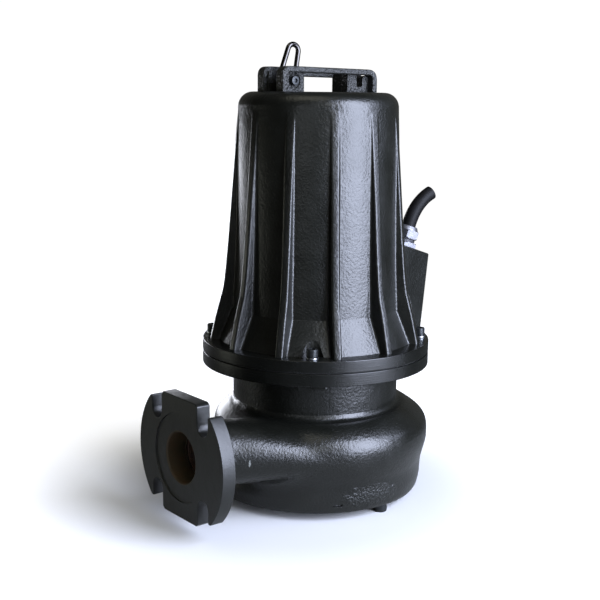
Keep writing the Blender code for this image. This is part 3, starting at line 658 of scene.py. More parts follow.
@dataclass
class MotorCover:
    """Ribbed bell over the motor, with its machined disc."""

    bench: Bench
    ribs: int = 12
    first_rib: float = 1.9
    nose: float = 4.6
    flat: float = 2.2
    draft: float = 6.0
    root: float = 2.6
    disc_inner: float = 95.0
    disc_top: float = 173.8
    disc_bottom: float = 160.9
    foot: float = 113.5
    side: tuple[Point, ...] = ((98.4, 210.8), (97.0, 235.0), (95.6, 262.0), (94.5, 300.0),
                               (93.7, 335.0), (93.1, 372.0), (92.3, 400.0), (91.6, 418.0),
                               (91.1, 430.0), (90.8, 439.5))
    rib_edge: tuple[Point, ...] = ((91.2, 433.0), (93.2, 414.0), (96.0, 380.0), (99.6, 335.0),
                                   (103.7, 284.0), (108.8, 236.0), (116.6, 205.5), (123.8, 173.0))
    rim: Point = (74.4, 437.8)
    rim_radius: float = 16.4
    dish: tuple[Point, ...] = ((74.4, 454.2), (74.8, 453.4), (74.0, 447.6), (71.0, 446.5),
                               (36.0, 446.5))
    dish_edges: tuple[float, ...] = (0.0, 1.6, 2.5, 3.0, 0.0)
    dish_reach: float = 80.0
    pocket_radius: float = 15.0
    pocket_top: float = 215.0

    def wall(self) -> list[Point]:
        """Radius and height of the bell's valleys from the disc up to the dished top."""
        foot, (reach, height) = self.foot, self.side[0]
        skirt = rounded([(foot, self.disc_top), self.side[0], self.side[1]], [0.0, 4.0, 0.0])
        line = [(foot, self.disc_top - 1.0)]
        line += [(foot + (reach - foot) * t, self.disc_top + (height - self.disc_top) * t)
                 for t in (0.0, 0.15, 0.3, 0.45, 0.6, 0.75)] + skirt[1:-1]
        line += smooth_line(self.side, 5)[4:]
        line += arc(self.rim, self.rim_radius, 3.0, 90.0, 12)
        line += rounded(self.dish, self.dish_edges, steps=3)[1:]
        return line

    def half_rib(self, wall: float, edge: float) -> list[Point]:
        """Cross-section of half a rib at one height.

        Args:
            wall: Radius of the valley.
            edge: Radius of the rib's edge.

        Returns:
            Offset from the rib's plane and radius, from the nose to the root's end.
        """
        height = max(edge - wall, 0.0)
        nose = min(self.nose - self.flat, 0.42 * height)
        root = min(self.root, 0.52 * height)
        row = [(0.0, wall + height)]
        row += [(self.flat + s * (self.nose - self.flat),
                 wall + height - nose * (1.0 - math.sqrt(1.0 - s * s)))
                for s in (0.0, 0.34, 0.62, 0.83, 0.95, 0.995)]
        base = self.nose + max(height - nose - root, 0.0) * math.tan(math.radians(self.draft))
        for turn in (0.0, 14.0, 32.0, 50.0, 70.0, 90.0):
            t = math.radians(turn)
            row.append((base + 0.2 + self.root * (1.0 - math.cos(t)),
                        wall + root * (1.0 - math.sin(t))))
        return row

    def ring(self, wall: float, edge: float, height: float) -> list[tuple[float, float, float]]:
        """One closed row of the bell's surface at a height."""
        half = self.half_rib(wall, edge)
        gap = math.tau / self.ribs
        turns = [(math.asin(min(s / r, 0.99)), r) for s, r in half]
        end = turns[-1][0]
        row = [(-t, r) for t, r in reversed(turns[1:])] + turns
        row += [(end + (gap - 2 * end) * q, wall) for q in (0.2, 0.5, 0.8)]
        points = []
        for k in range(self.ribs):
            centre = math.radians(self.first_rib) + gap * k
            points += [(r * math.cos(centre + t), r * math.sin(centre + t), height) for t, r in row]
        return points

    def build(self) -> None:
        """Make the bell and the disc that it stands on."""
        bench = self.bench
        wall = self.wall()
        edges = np.array(smooth_line(self.rib_edge[::-1], 8))
        ribs_end = self.rib_edge[0][1]
        rows = []
        for r, z in wall:
            ribbed = z < ribs_end and r > self.dish_reach
            edge = float(np.interp(z, edges[:, 1], edges[:, 0])) if ribbed else r
            rows.append(self.ring(r, edge, z))
        columns = len(rows[0])
        points = np.array(rows).transpose(1, 0, 2).reshape(-1, 3)
        bell = bench.mesh("motor_bell", points, bench.grid_faces(columns, len(rows)), 50.0)
        pocket = rectangle(0.0, self.pocket_radius, self.disc_top - 5.0, self.pocket_top)
        tools = []
        for k, angle in enumerate(SCREW_ANGLES):
            tool = bench.lathe(f"spotface_{k}", pocket, 72)
            tools.append(bench.pose(tool, spin(angle) @ shift(SCREW_CIRCLE)))
        bench.carve(bell, tools, sharp=38.0)
        bench.hand_over(bell, CAST_ENAMEL, "motor_cover")
        edge = rectangle(self.disc_inner, DISC_RADIUS, self.disc_top, self.disc_bottom)
        disc = bench.lathe("cover_disc", rounded(edge, [0.0, 0.9, 0.6, 0.0], True, 3), 192, True)
        bench.hand_over(disc, TURNED_ENAMEL)


@dataclass
class FlangeScrews:
    """Four socket screws on spring washers in the spotface pockets."""

    bench: Bench
    washer: tuple[float, float, float] = (4.3, 6.8, 2.0)
    head: tuple[float, float] = (6.2, 8.8)
    socket: tuple[float, float] = (3.5, 5.0)
    base: float = 174.1

    def build(self) -> None:
        """Make each screw with its hexagon socket and its split washer."""
        bench = self.bench
        inner, outer, thick = self.washer
        radius, height = self.head
        low = self.base + thick + 0.3
        for k, angle in enumerate(SCREW_ANGLES):
            place = spin(angle) @ shift(SCREW_CIRCLE)
            edge = rectangle(inner, outer, self.base, self.base + thick)
            washer = bench.lathe(f"split_washer_{k + 1}",
                                 rounded(edge, [0.2, 0.3, 0.3, 0.2], True, 2), 48, True)
            bench.hand_over(washer, ZINC, f"spring_washer_{k + 1}", place)
            head = bench.lathe(f"socket_screw_{k + 1}", rounded(
                [(0.0, low), (radius - 0.2, low), (radius, low + 0.8), (radius, low + height),
                 (0.0, low + height)], [0.0, 0.3, 0.2, 1.1, 0.0], False, 4), 48)
            socket = bench.prism("socket", hexagon(self.socket[0]),
                                 low + height - self.socket[1], low + height + 1.0)
            bench.carve(head, [socket])
            bench.hand_over(head, BLACK_SCREW, f"flange_screw_{k + 1}", place)


@dataclass
class OilChamber:
    """Lower disc with its neck and the pads under the four screws."""

    bench: Bench
    disc: tuple[float, float, float] = (85.0, 159.6, 145.6)
    neck: tuple[Point, ...] = ((80.0, 147.6), (102.0, 147.6), (101.0, 145.2), (96.9, 143.6),
                               (96.4, 128.0), (96.2, 103.5), (93.0, 102.0), (80.0, 102.0))
    neck_edges: tuple[float, ...] = (0.0, 0.0, 0.0, 6.0, 8.0, 0.8, 0.0, 0.0)
    pad: tuple[float, float, float] = (34.0, 4.3, 125.0)
    pad_root: float = 90.0

    def build(self) -> None:
        """Make the turned disc, the cast neck and the pads."""
        bench = self.bench
        inner, top, bottom = self.disc
        edge = rectangle(inner, DISC_RADIUS, top, bottom)
        disc = bench.lathe("lower_disc", rounded(edge, [0.0, 0.6, 0.9, 0.0], True, 3), 192, True)
        bench.hand_over(disc, TURNED_ENAMEL, "oil_chamber")
        neck = bench.lathe("chamber_neck", rounded(self.neck, self.neck_edges, True, 5), 160, True)
        bench.hand_over(neck, CAST_ENAMEL)
        width, depth, reach = self.pad
        outline = rounded(rectangle(self.pad_root, reach, -width / 2, width / 2),
                          [0.0, 3.0, 3.0, 0.0], True, 3)
        for k, angle in enumerate(SCREW_ANGLES):
            pad = bench.prism(f"screw_pad_{k + 1}", outline, bottom - depth, bottom + 2.0, 0.8)
            bench.hand_over(pad, CAST_ENAMEL, place=spin(angle))


@dataclass
class VoluteCasing:
    """Spiral casing whose wall runs out tangentially into the discharge nozzle."""

    bench: Bench
    shoulder: float = 95.5
    spiral: tuple[float, float, float, float] = (190.0, 115.8, 0.0728, 338.0)
    shares: tuple[tuple[float, float, float, float], ...] = (
        (0.008, 112.5, 0.0, 0.0), (0.014, 106.2, 0.0, 4.8), (0.035, 104.2, 0.0, 6.6),
        (0.08, 102.8, 0.01, 7.2), (0.13, 101.6, 0.02, 6.4), (0.16, 100.9, 0.045, 3.4),
        (0.2, 99.9, 0.09, 0.2), (0.35, 96.2, 0.11, -1.4), (0.5, 92.8, 0.105, -1.2),
        (0.65, 89.6, 0.08, -0.6),
        (0.8, 85.6, 0.05, 0.0), (0.9, 81.6, 0.03, 0.0), (0.97, 76.4, 0.008, 0.0),
        (1.0, 69.0, 0.0, 0.0), (0.985, 57.2, 0.0, 0.0), (0.88, 42.0, 0.0, 0.0))
    groove: float = 228.0
    waist: float = 31.0
    ring: tuple[Point, ...] = ((125.8, 15.0), (123.4, 3.0), (121.4, 0.0), (120.0, -3.0))
    bore: tuple[Point, ...] = ((0.0, 112.0), (12.0, 118.0), (21.5, 130.0), (26.5, 148.0),
                               (29.5, 168.0), (30.0, 172.0), (30.0, 200.0), (0.0, 200.0))
    pocket: Point = (44.3, 16.0)
    pry: tuple[float, float, float, float] = (8.0, 10.4, 2.8, 9.5)
    pry_angle: float = 243.0
    rear: float = 8.0
    nozzle: tuple[tuple[float, float, float, float], ...] = (
        (-193.0, -69.5, 31.2, 113.6), (-190.5, -68.5, 32.2, 112.6), (-187.5, -66.8, 34.6, 110.0),
        (-182.0, -68.2, 36.0, 108.4), (-172.0, -72.0, 36.0, 108.0), (-150.0, -82.1, 35.5, 106.5),
        (-130.0, -91.4, 34.7, 104.0), (-110.0, -100.8, 33.8, 100.5), (-85.0, -112.5, 32.6, 96.0),
        (-62.0, -121.5, 32.0, 92.0), (-45.0, -122.0, 34.0, 90.0))
    flare: Point = (-186.0, -64.5)
    blend: tuple[tuple[int, float, float], ...] = ((0, -175.0, 12.0), (0, 10.0, -40.0),
                                                   (2, 20.0, 10.0), (1, 40.0, -20.0))
    voxel: float = 1.7
    angles: int = 144
    sides: int = 72

    def widest(self, angle: float) -> float:
        """Widest radius of the spiral at an angle in degrees."""
        start, radius, growth, sweep = self.spiral
        turn = (start - angle) % 360.0
        if turn <= sweep:
            return radius + growth * turn
        share = (turn - sweep) / (360.0 - sweep)
        return radius + growth * sweep * (1.0 - share * share * (3.0 - 2.0 * share))

    def section(self, angle: float) -> list[Point]:
        """Outer profile at an angle, top to bottom.

        Each row of shares holds the share of the bulge at a height, what a wide bulge adds to
        it, and how far the groove in front lowers it.
        """
        bulge = self.widest(angle) - self.shoulder
        fuller = min(max((bulge - 24.0) / 13.0, 0.0), 1.25)
        front = max(math.cos(math.radians(angle - self.groove)), 0.0) ** 0.7
        row = [(self.shoulder + (share + more * fuller) * bulge, z - dip * front)
               for share, z, more, dip in self.shares]
        row.append((row[-1][0] * 0.25 + self.ring[0][0] * 0.75, self.waist))
        line = smooth_line(row + [self.ring[0]], 4)
        return line + list(self.ring[1:])

    def build(self) -> None:
        """Make the casing as one casting with soft blends."""
        bench = self.bench
        rows = []
        for i in range(self.angles):
            angle = 360.0 * i / self.angles
            turn = math.radians(angle)
            rows.append([(r * math.cos(turn), r * math.sin(turn), z)
                         for r, z in self.section(angle)])
        body = bench.mesh("spiral_casing", np.array(rows).reshape(-1, 3),
                          bench.grid_faces(self.angles, len(rows[0])))
        bench.carve(body, [self.make_nozzle()], "UNION")
        hole = bench.lathe("bore_hole", self.bore, 64)
        bench.pose(hole, outlet())
        radius, top = self.pocket
        pocket = bench.lathe("cutter_pocket", rectangle(0.0, radius, -8.0, top))
        bench.carve(body, [hole, pocket])
        remesh = body.modifiers.new("one_casting", "REMESH")
        remesh.mode = "VOXEL"
        remesh.voxel_size = self.voxel * MM
        bench.settle(body)
        self.soften(body.data)
        self.trim(body.data)
        width, tall, deep, height = self.pry
        slot = bench.prism("pry_slot", rectangle(-width / 2, width / 2, -tall / 2, tall / 2),
                           -deep / 2, deep / 2, 0.5)
        bench.pose(slot, spin(self.pry_angle) @ shift(self.ring[0][0], 0.0, height))
        bench.carve(body, [slot], sharp=42.0)
        bench.hand_over(body, CASING_ENAMEL, "volute_casing")

    def make_nozzle(self) -> bpy.types.Object:
        """Loft of ellipses from the flange into the spiral's wall."""
        stations = smooth_line(self.nozzle, 3)
        points = []
        for i in range(self.sides):
            turn = math.tau * i / self.sides
            for x, front, low, high in stations:
                flare = max(0.0, self.flare[1] - front) if x < self.flare[0] else 0.0
                reach, rise = (self.rear + flare - front) / 2, (high - low) / 2
                points.append((x, front + reach + reach * math.cos(turn),
                               low + rise + rise * math.sin(turn)))
        faces = self.bench.grid_faces(self.sides, len(stations))
        return self.bench.mesh("nozzle", np.array(points), faces)

    def soften(self, data: bpy.types.Mesh) -> None:
        """Relax the casting, most of all where the nozzle meets the spiral.

        Each row of blend holds an axis, where on it the blend sets in, and over which
        distance it grows to full strength.

        Args:
            data: Mesh to change.
        """
        count = len(data.vertices)
        spots = np.empty(count * 3)
        data.vertices.foreach_get("co", spots)
        spots = spots.reshape(-1, 3)
        ends = np.empty(len(data.edges) * 2, dtype=np.int64)
        data.edges.foreach_get("vertices", ends)
        ends = ends.reshape(-1, 2)
        first = np.concatenate([ends[:, 0], ends[:, 1]])
        second = np.concatenate([ends[:, 1], ends[:, 0]])
        degree = np.maximum(np.bincount(first, minlength=count), 1)
        place = spots / MM
        blend = np.prod([np.clip((place[:, axis] - start) / span, 0.0, 1.0)
                         for axis, start, span in self.blend], axis=0)

        def relax(amount: np.ndarray, rounds: int) -> None:
            """Move each point towards the mean of its neighbours."""
            nonlocal spots
            for _ in range(rounds):
                mean = np.stack([np.bincount(first, spots[second, axis], minlength=count) / degree
                                 for axis in range(3)], -1)
                spots = spots + (mean - spots) * amount[:, None]

        relax(np.full(count, 0.5), 3)
        relax(blend * 0.7, 40)
        data.vertices.foreach_set("co", spots.reshape(-1))
        data.update()

    @staticmethod
    def trim(data: bpy.types.Mesh) -> None:
        """Cut the casting flat at its lower face."""
        shape = bmesh.new()
        shape.from_mesh(data)
        cut = bmesh.ops.bisect_plane(shape, geom=shape.verts[:] + shape.edges[:] + shape.faces[:],
                                     plane_co=(0.0, 0.0, 0.0), plane_no=(0.0, 0.0, -1.0),
                                     clear_outer=True)
        rim = [e for e in cut["geom_cut"] if isinstance(e, bmesh.types.BMEdge)]
        bmesh.ops.holes_fill(shape, edges=rim, sides=0)
        bmesh.ops.recalc_face_normals(shape, faces=shape.faces)
        shape.to_mesh(data)
        shape.free()


@dataclass
class DischargeFlange:
    """Slotted flange with its recessed face, bore and thread."""

    bench: Bench
    face: float = 207.5
    thick: float = 16.2
    radius: float = 81.0
    half_height: float = 66.3
    half_width: float = 31.0
    slot_centre: float = 44.2
    slot_radius: float = 9.5
    lobe: float = 57.0
    recess: Point = (48.0, 1.6)
    bore: float = 29.4
    sleeve: tuple[Point, ...] = ((31.5, 40.0), (31.5, 2.0), (29.6, 0.2), (28.6, 0.2),
                                 (27.6, 1.6), (26.6, 24.0), (25.4, 24.0), (25.4, 40.0))
    sleeve_edges: tuple[float, ...] = (0.0, 0.0, 0.0, 0.5, 1.2, 0.0, 0.0, 0.0)
    ledge: tuple[float, float, float, float] = (25.2, 26.7, 24.6, 23.9)
    thread: tuple[float, float, float, float] = (24.6, 0.5, 2.3, 25.0)
    thread_turns: int = 18
    thread_steps: int = 8
    thread_back: float = 29.0
    thread_end: tuple[Point, ...] = ((14.0, 118.0), (0.5, 106.0), (0.5, 104.0), (29.0, 131.0))

    def outline(self) -> list[Point]:
        """Outline with four slots open to the top and bottom."""
        lobe_y = math.sqrt(self.radius ** 2 - self.lobe ** 2)
        lobe_angle = math.degrees(math.asin(self.lobe / self.radius))
        quarter = [(0.0, self.half_height), (self.half_width, self.half_height),
                   (self.slot_centre - self.slot_radius, self.half_height - 3.0)]
        quarter += arc((self.slot_centre, self.slot_centre), self.slot_radius, 180.0, 360.0, 20)
        quarter += [(self.slot_centre + self.slot_radius, self.lobe), (lobe_y, self.lobe)]
        quarter += arc((0.0, 0.0), self.radius, lobe_angle - 2.0, 0.0, 22)
        right = quarter + [(y, -z) for y, z in reversed(quarter[:-1])]
        return right + [(-y, z) for y, z in reversed(right[1:-1])]

    def build(self) -> None:
        """Make the flange plate, its bore and the thread inside.

        Sleeve, ledge and thread are counted in depth behind the recessed face.
        """
        bench = self.bench
        plate = bench.prism("discharge_flange", [(z, -y) for y, z in self.outline()],
                            self.face - self.thick, self.face, 0.9)
        bench.settle(plate)
        radius, front = self.recess[0], self.face - self.recess[1]
        recess = bench.lathe("recess", rounded(
            [(0.0, front), (radius, front), (radius + 0.8, self.face + 2.0),
             (0.0, self.face + 2.0)], [0.0, 0.5, 0.0, 0.0]), 128)
        bore = bench.lathe("bore", rectangle(0.0, self.bore, 150.0, 220.0), 96)
        bench.carve(plate, [recess, bore])
        bench.hand_over(plate, FACED_ENAMEL, place=outlet())
        wall = [(r, front - deep) for r, deep in self.sleeve]
        sleeve = bench.lathe("bore_sleeve", rounded(wall, self.sleeve_edges, True, 3), 128, True)
        bench.hand_over(sleeve, BORED_IRON, place=outlet())
        inner, outer, low, high = self.ledge
        edge = rectangle(inner, outer, front - low, front - high)
        ledge = bench.lathe("bore_ledge", edge, 128, True)
        bench.hand_over(ledge, BRIGHT_EDGE, place=outlet())
        radius, crest, pitch, start = self.thread
        steps = self.thread_steps
        line = [(self.thread_back, front - start)]
        line += [(radius + crest * math.cos(math.tau * i / steps),
                  front - start - pitch * i / steps) for i in range(steps * self.thread_turns)]
        thread = bench.lathe("bore_thread", line + list(self.thread_end), 96, True)
        bench.hand_over(thread, RUSTY_IRON, place=outlet())


@dataclass
class Underside:
    """Suction cover, cutter and the three screws that the pump stands on."""

    bench: Bench
    cover: tuple[float, float, float] = (34.0, 100.0, 4.0)
    foot_angles: tuple[float, ...] = (273.1, 33.1, 153.1)
    foot_circle: float = 112.0
    foot: tuple[Point, ...] = ((0.0, -0.3), (7.4, -0.3), (7.4, -9.2), (6.6, -10.0), (0.0, -10.0))
    foot_edges: tuple[float, ...] = (0.0, 0.0, 0.3, 0.2, 0.0)

    def build(self) -> None:
        """Make the cover and the feet, and dress the cutter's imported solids."""
        bench = self.bench
        inner, outer, thick = self.cover
        edge = rectangle(inner, outer, -0.3, -0.3 - thick)
        cover = bench.lathe("suction_plate", rounded(edge, [0.0, 0.5, 1.0, 1.5], True, 3),
                            160, True)
        bench.hand_over(cover, TURNED_ENAMEL, "suction_cover")
        for k, angle in enumerate(self.foot_angles):
            foot = bench.lathe(f"foot_{k + 1}", rounded(self.foot, self.foot_edges), 48)
            place = spin(angle) @ shift(self.foot_circle)
            bench.hand_over(foot, BLACK_SCREW, f"foot_screw_{k + 1}", place)
        bench.dress_node("cutter_ring", GROUND_STEEL, 0.5)
        bench.dress_node("cutter_rotor", GROUND_STEEL, 0.6)
        bench.dress_node("cutter_screw", ZINC, 0.6)
        bench.dress_node("flange_gasket", GASKET_SHEET)


@dataclass
class CableEntry:
    """Cable box cast on the cover, with its gland and the stub of cable."""

    bench: Bench
    angle: float = -10.0
    width: float = 56.0
    lean: float = 18.0
    seat: Point = (119.0, 271.206)
    cable_radius: float = 8.5
    top_slope: float = 18.0
    taper: float = 17.0
    box: tuple[float, float, float, float, float] = (139.0, 127.0, 80.0, 265.6, 172.0)
    free_end: Point = (159.0, 336.0)
    free_rise: float = 26.0
    inside: Point = (24.5, 12.0)
    outside: Point = (14.0, 27.0)
    pull: Point = (21.0, 16.0)
    gland: tuple[float, float, float] = (17.0, 0.3, 7.5)
    nut: tuple[float, float, float] = (15.8, 12.1, 22.0)
    thread: tuple[float, float, float] = (12.4, 0.25, 1.4)
    neck: tuple[float, float, float] = (8.9, 6.5, 13.2)
    crown: tuple[Point, ...] = ((8.7, 21.0), (13.0, 21.0), (12.6, 23.6), (11.0, 27.0), (8.7, 27.0))
    crown_edges: tuple[float, ...] = (0.0, 0.0, 1.5, 1.2, 0.6)

    def gland_place(self) -> Matrix:
        """Stand an upright solid on the gland's seat."""
        return spin(self.angle) @ shift(self.seat[0], 0.0, self.seat[1]) @ spin(self.lean, "Y")

    def build(self) -> None:
        """Make the box, the gland and the cable."""
        box = self.make_box()
        self.bench.hand_over(box, CAST_ENAMEL)
        self.make_gland()
        self.make_cable()

    def make_box(self) -> bpy.types.Object:
        """Box that widens towards the cover, with a sloping top."""
        outer, foot, root, top, bottom = self.box
        slope = math.tan(math.radians(self.top_slope))
        spread = math.tan(math.radians(self.taper))
        rows = []
        for reach, height in ((outer, top), (root, top + (outer - root) * slope),
                              (root, bottom), (foot, bottom)):
            half = self.width / 2 + (outer - reach) * spread
            rows.append([(reach, -half, height), (reach, half, height)])
        points = np.array(rows).reshape(-1, 3)
        faces = [(0, 2, 4, 6), (1, 7, 5, 3)] + [(2 * i, 2 * i + 1, (2 * i + 3) % 8, (2 * i + 2) % 8)
                                                for i in range(4)]
        box = self.bench.mesh("cable_box", points, faces)
        self.bench.round_edges(box, 1.3)
        return self.bench.pose(box, spin(self.angle))

    def hexagon_drum(self, name: str, corner: float, low: float, high: float) -> bpy.types.Object:
        """Hexagon with the corners of both ends turned off.

        Args:
            name: Name of the piece.
            corner: Distance of the corners from the axis.
            low: Lower height.
            high: Upper height.

        Returns:
            The object.
        """
        item = self.bench.prism(name, hexagon(corner), low, high)
        drum = self.bench.lathe("chamfer", [(0.0, low - 0.1), (corner * 0.88, low - 0.1),
                                            (corner + 0.05, low + 1.4), (corner + 0.05, high - 1.4),
                                            (corner * 0.88, high + 0.1), (0.0, high + 0.1)], 64)
        return self.bench.carve(item, [drum], "INTERSECT", 25.0)

    def make_gland(self) -> None:
        """Body with its hexagon and thread, and the nut with its crown."""
        bench = self.bench
        place = self.gland_place()
        body = self.hexagon_drum("gland_hexagon", *self.gland)
        bench.hand_over(body, NICKEL, "gland_body", place)
        radius, crest, pitch = self.thread
        inner, low, high = self.neck
        thread = [(radius + crest * math.cos(math.tau * i / 6), low + pitch * i / 6)
                  for i in range(28)]
        neck = bench.lathe("gland_thread", [(inner, low)] + thread + [(inner, high)], 64, True)
        bench.hand_over(neck, NICKEL, place=place)
        nut = self.hexagon_drum("gland_nut_hexagon", *self.nut)
        bench.hand_over(nut, NICKEL, "gland_nut", place)
        crown = bench.lathe("gland_crown", rounded(self.crown, self.crown_edges, True, 4), 64, True)
        bench.hand_over(crown, NICKEL, place=place)

    def route(self) -> list[Vector]:
        """Points of the cable in metres, from inside the box to its free end.

        It runs straight through the gland, from a depth inside the box to a height outside,
        and then bends over to its free end with a pull at both ends of the bend.
        """
        lean, rise = math.radians(self.lean), math.radians(self.free_rise)
        upward = Vector((math.sin(lean), math.cos(lean)))
        outward = Vector((math.cos(rise), math.sin(rise)))
        seat = Vector(self.seat)
        mouth = seat + upward * self.outside[1]
        end = Vector(self.free_end)
        line = [seat - upward * depth for depth in self.inside]
        line += [seat, seat + upward * self.outside[0]]
        first, last = mouth + upward * self.pull[0], end - outward * self.pull[1]
        for i in range(17):
            t = i / 16
            line.append(mouth * (1 - t) ** 3 + first * 3 * t * (1 - t) ** 2
                        + last * 3 * t ** 2 * (1 - t) + end * t ** 3)
        turn = spin(self.angle)
        return [(turn @ Vector((p.x, 0.0, p.y)) + AXIS) * MM for p in line]

    def make_cable(self) -> None:
        """Stub of the power cable, cut square as the real one is."""
        line = self.route()
        curve = bpy.data.curves.new("power_cable_stub", "CURVE")
        curve.dimensions = "3D"
        curve.bevel_depth = self.cable_radius * MM
        curve.bevel_resolution = 8
        curve.use_fill_caps = True
        spline = curve.splines.new("POLY")
        spline.points.add(len(line) - 1)
        for point, spot in zip(spline.points, line):
            point.co = (*spot, 1.0)
        spline.use_smooth = True
        cable = add_object("power_cable_stub", curve)
        curve.materials.append(self.bench.material(SHEATH))
        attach(cable, PUMP)
        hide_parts("power_cable")


@dataclass
class Handle:
    """Two bows with the link's cheeks and the notched lug between them."""

    bench: Bench
    foot: float = 446.8
    half: float = 69.0
    top: float = 481.0
    bars: tuple[float, float] = (6.3, 9.6)
    leg: float = 6.6
    near: float = 11.0
    far: float = 23.3
    lug_half: float = 14.0
    lug_back: float = 3.0
    cheek_inner: float = 8.0
    pin: Point = (-46.0, 466.0)
    sink: float = 2.4
    cheek_ends: Point = (-64.5, -32.0)
    lug_ends: Point = (30.5, 62.0)
    lug_top: float = 475.5
    notch: tuple[float, float, float] = (45.0, 53.2, 461.0)
    horn: tuple[float, float, float] = (57.6, 469.0, 4.4)
    pin_hole: tuple[float, float, float] = (3.3, 8.4, 9.0)
    pin_shaft: Point = (3.0, 5.3)
    pin_head: tuple[float, float, float] = (5.2, 0.2, 5.2)
    pin_socket: tuple[float, float, float] = (2.7, 3.0, 6.0)
    link: tuple[float, float, float, float] = (10.6, 7.3, 40.6, 2.9)
    link_lean: float = 15.0

    def bow(self, bar: float) -> list[Point]:
        """Arch with rounded corners, its top falling a little towards the lug.

        Args:
            bar: Thickness of the top bar.

        Returns:
            The outline.
        """
        left, right = -self.half, self.half - 1.0
        line = [(right, self.foot), (right, self.top - 0.9), (left, self.top + 0.5),
                (left, self.foot), (left + self.leg, self.foot),
                (left + self.leg, self.top + 0.4 - bar),
                (right - self.leg, self.top - 0.8 - bar), (right - self.leg, self.foot)]
        return rounded(line, [0.0, 13.0, 10.5, 0.0, 0.0, 5.0, 6.0, 0.0], True, 7)

    def cheek(self) -> list[Point]:
        """Plain block between bow and pin."""
        left, right = self.cheek_ends
        line = [(left, self.foot), (right, self.foot), (right, self.lug_top),
                (left, self.lug_top + 1.5)]
        return rounded(line, [0.0, 0.0, 2.0, 5.0], True, 4)

    def lug(self) -> list[Point]:
        """Lug with a notch and a rounded horn."""
        left, right = self.lug_ends
        near, far, floor = self.notch
        x, z, radius = self.horn
        line = [(left, self.foot), (right, self.foot)]
        line += arc((x, z), radius, 0.0, 180.0, 12)
        line += rounded([(far, floor + 5.0), (far, floor), (near, floor), (near, self.lug_top),
                         (left, self.lug_top), (left, floor - 1.0)],
                        [0.0, 1.6, 1.6, 1.0, 1.0, 0.0], False, 3)[1:-1]
        return line

    def build(self) -> None:
        """Make the bows, the cheeks and the lug."""
        bench = self.bench
        x, z = self.pin
        for side, sign, bar in (("front", -1.0, self.bars[0]), ("rear", 1.0, self.bars[1])):
            middle, deep = sign * (self.near + self.far) / 2, (self.far - self.near) / 2
            bow = bench.prism(f"bow_{side}", self.bow(bar), -deep, deep, 1.2)
            bench.hand_over(bow, HANDLE_ENAMEL, f"handle_bow_{side}", upright(y=middle))
            middle = sign * (self.cheek_inner + self.lug_half) / 2
            deep = (self.lug_half - self.cheek_inner) / 2
            cheek = bench.prism(f"cheek_{side}", self.cheek(), -deep, deep, 0.9)
            bench.settle(cheek)
            floor = deep - self.sink
            shaft, recess, end = self.pin_hole
            hole = bench.lathe("pin_hole", [(0.0, -end), (shaft, -end), (shaft, floor),
                                            (recess, floor), (recess, end), (0.0, end)], 48)
            turn = Matrix.Identity(4) if sign < 0 else spin(180.0, "Y")
            bench.carve(cheek, [bench.pose(hole, shift(x, z, 0.0) @ turn)])
            bench.hand_over(cheek, HANDLE_ENAMEL, f"link_cheek_{side}", upright(y=middle))
        lug = bench.prism("lug_with_notch", self.lug(), self.lug_back, self.lug_half, 0.9)
        bench.hand_over(lug, HANDLE_ENAMEL, "notched_lug", upright())
        shape = rectangle(self.lug_ends[0] + 0.5, self.lug_ends[1] - 0.4, self.foot, self.lug_top)
        back = bench.prism("lug_back", shape, -self.lug_half, self.lug_back, 0.9)
        bench.hand_over(back, CAST_ENAMEL, place=upright())
        self.make_pin()
        self.make_link()

    def make_pin(self) -> None:
        """Headed pin with its nut and bush."""
        bench = self.bench
        seat = self.lug_half - self.sink
        shaft, past = self.pin_shaft
        head, under, over = self.pin_head
        end, low, high = -self.lug_half - past, seat + under, seat + over
        pin = bench.lathe("pin_with_head", rounded(
            [(0.0, end), (shaft, end), (shaft, low), (head, low), (head, high), (0.0, high)],
            [0.0, 0.5, 0.0, 0.2, 0.9, 0.0], False, 3), 40)
        corner, low, high = self.pin_socket
        socket = bench.prism("socket", hexagon(corner), seat + low, seat + high)
        bench.carve(pin, [socket])
        place = upright(self.pin[0], 0.0, self.pin[1])
        bench.hand_over(pin, replace(BLACK_SCREW, slot=Slot.ZINC), "link_pin", place)
        bench.dress_node("link_pin_nut", ZINC, 0.4)
        bench.dress_node("link_bush", ZINC, 0.4)

    def make_link(self) -> None:
        """Bent wire link that swings on the pin."""
        foot, top, length, wire = self.link
        centre = length - top
        spread = math.degrees(math.asin((foot - top) / centre))
        line = arc((0.0, 0.0), foot, 180.0 - spread, 360.0 + spread, 40)
        line += arc((0.0, centre), top, spread, 180.0 - spread, 28)
        link = self.bench.wire("wire_link", line, wire)
        self.bench.hand_over(link, DRAWN_WIRE, "lifting_link",
                             shift(self.pin[0], 0.0, self.pin[1]) @ spin(self.link_lean, "Y"), LINK)


@dataclass(frozen=True)
class SoftBox:
    """One soft box round the pump; sizes in metres, its glow as radiance."""

    name: str
    azimuth: float
    reach: float
    height: float
    size: tuple[float, float]
    glow: float
    colour: str
    aim: float

    def stand(self) -> None:
        """Stand the box at its azimuth, facing its height on the motor axis."""
        light = bpy.data.lights.new(self.name, "AREA")
        light.shape = "RECTANGLE"
        light.size, light.size_y = self.size
        light.energy = self.glow * math.pi * self.size[0] * self.size[1]
        light.color = linear(self.colour)[:3]
        item = add_object(self.name, light)
        turn = math.radians(self.azimuth)
        axis = AXIS * MM
        item.location = (axis.x + self.reach * math.cos(turn), axis.y + self.reach * math.sin(turn),
                         self.height)
        sight = Vector((axis.x, axis.y, self.aim)) - item.location
        item.rotation_euler = sight.to_track_quat("-Z", "Y").to_euler()
        item.visible_camera = False


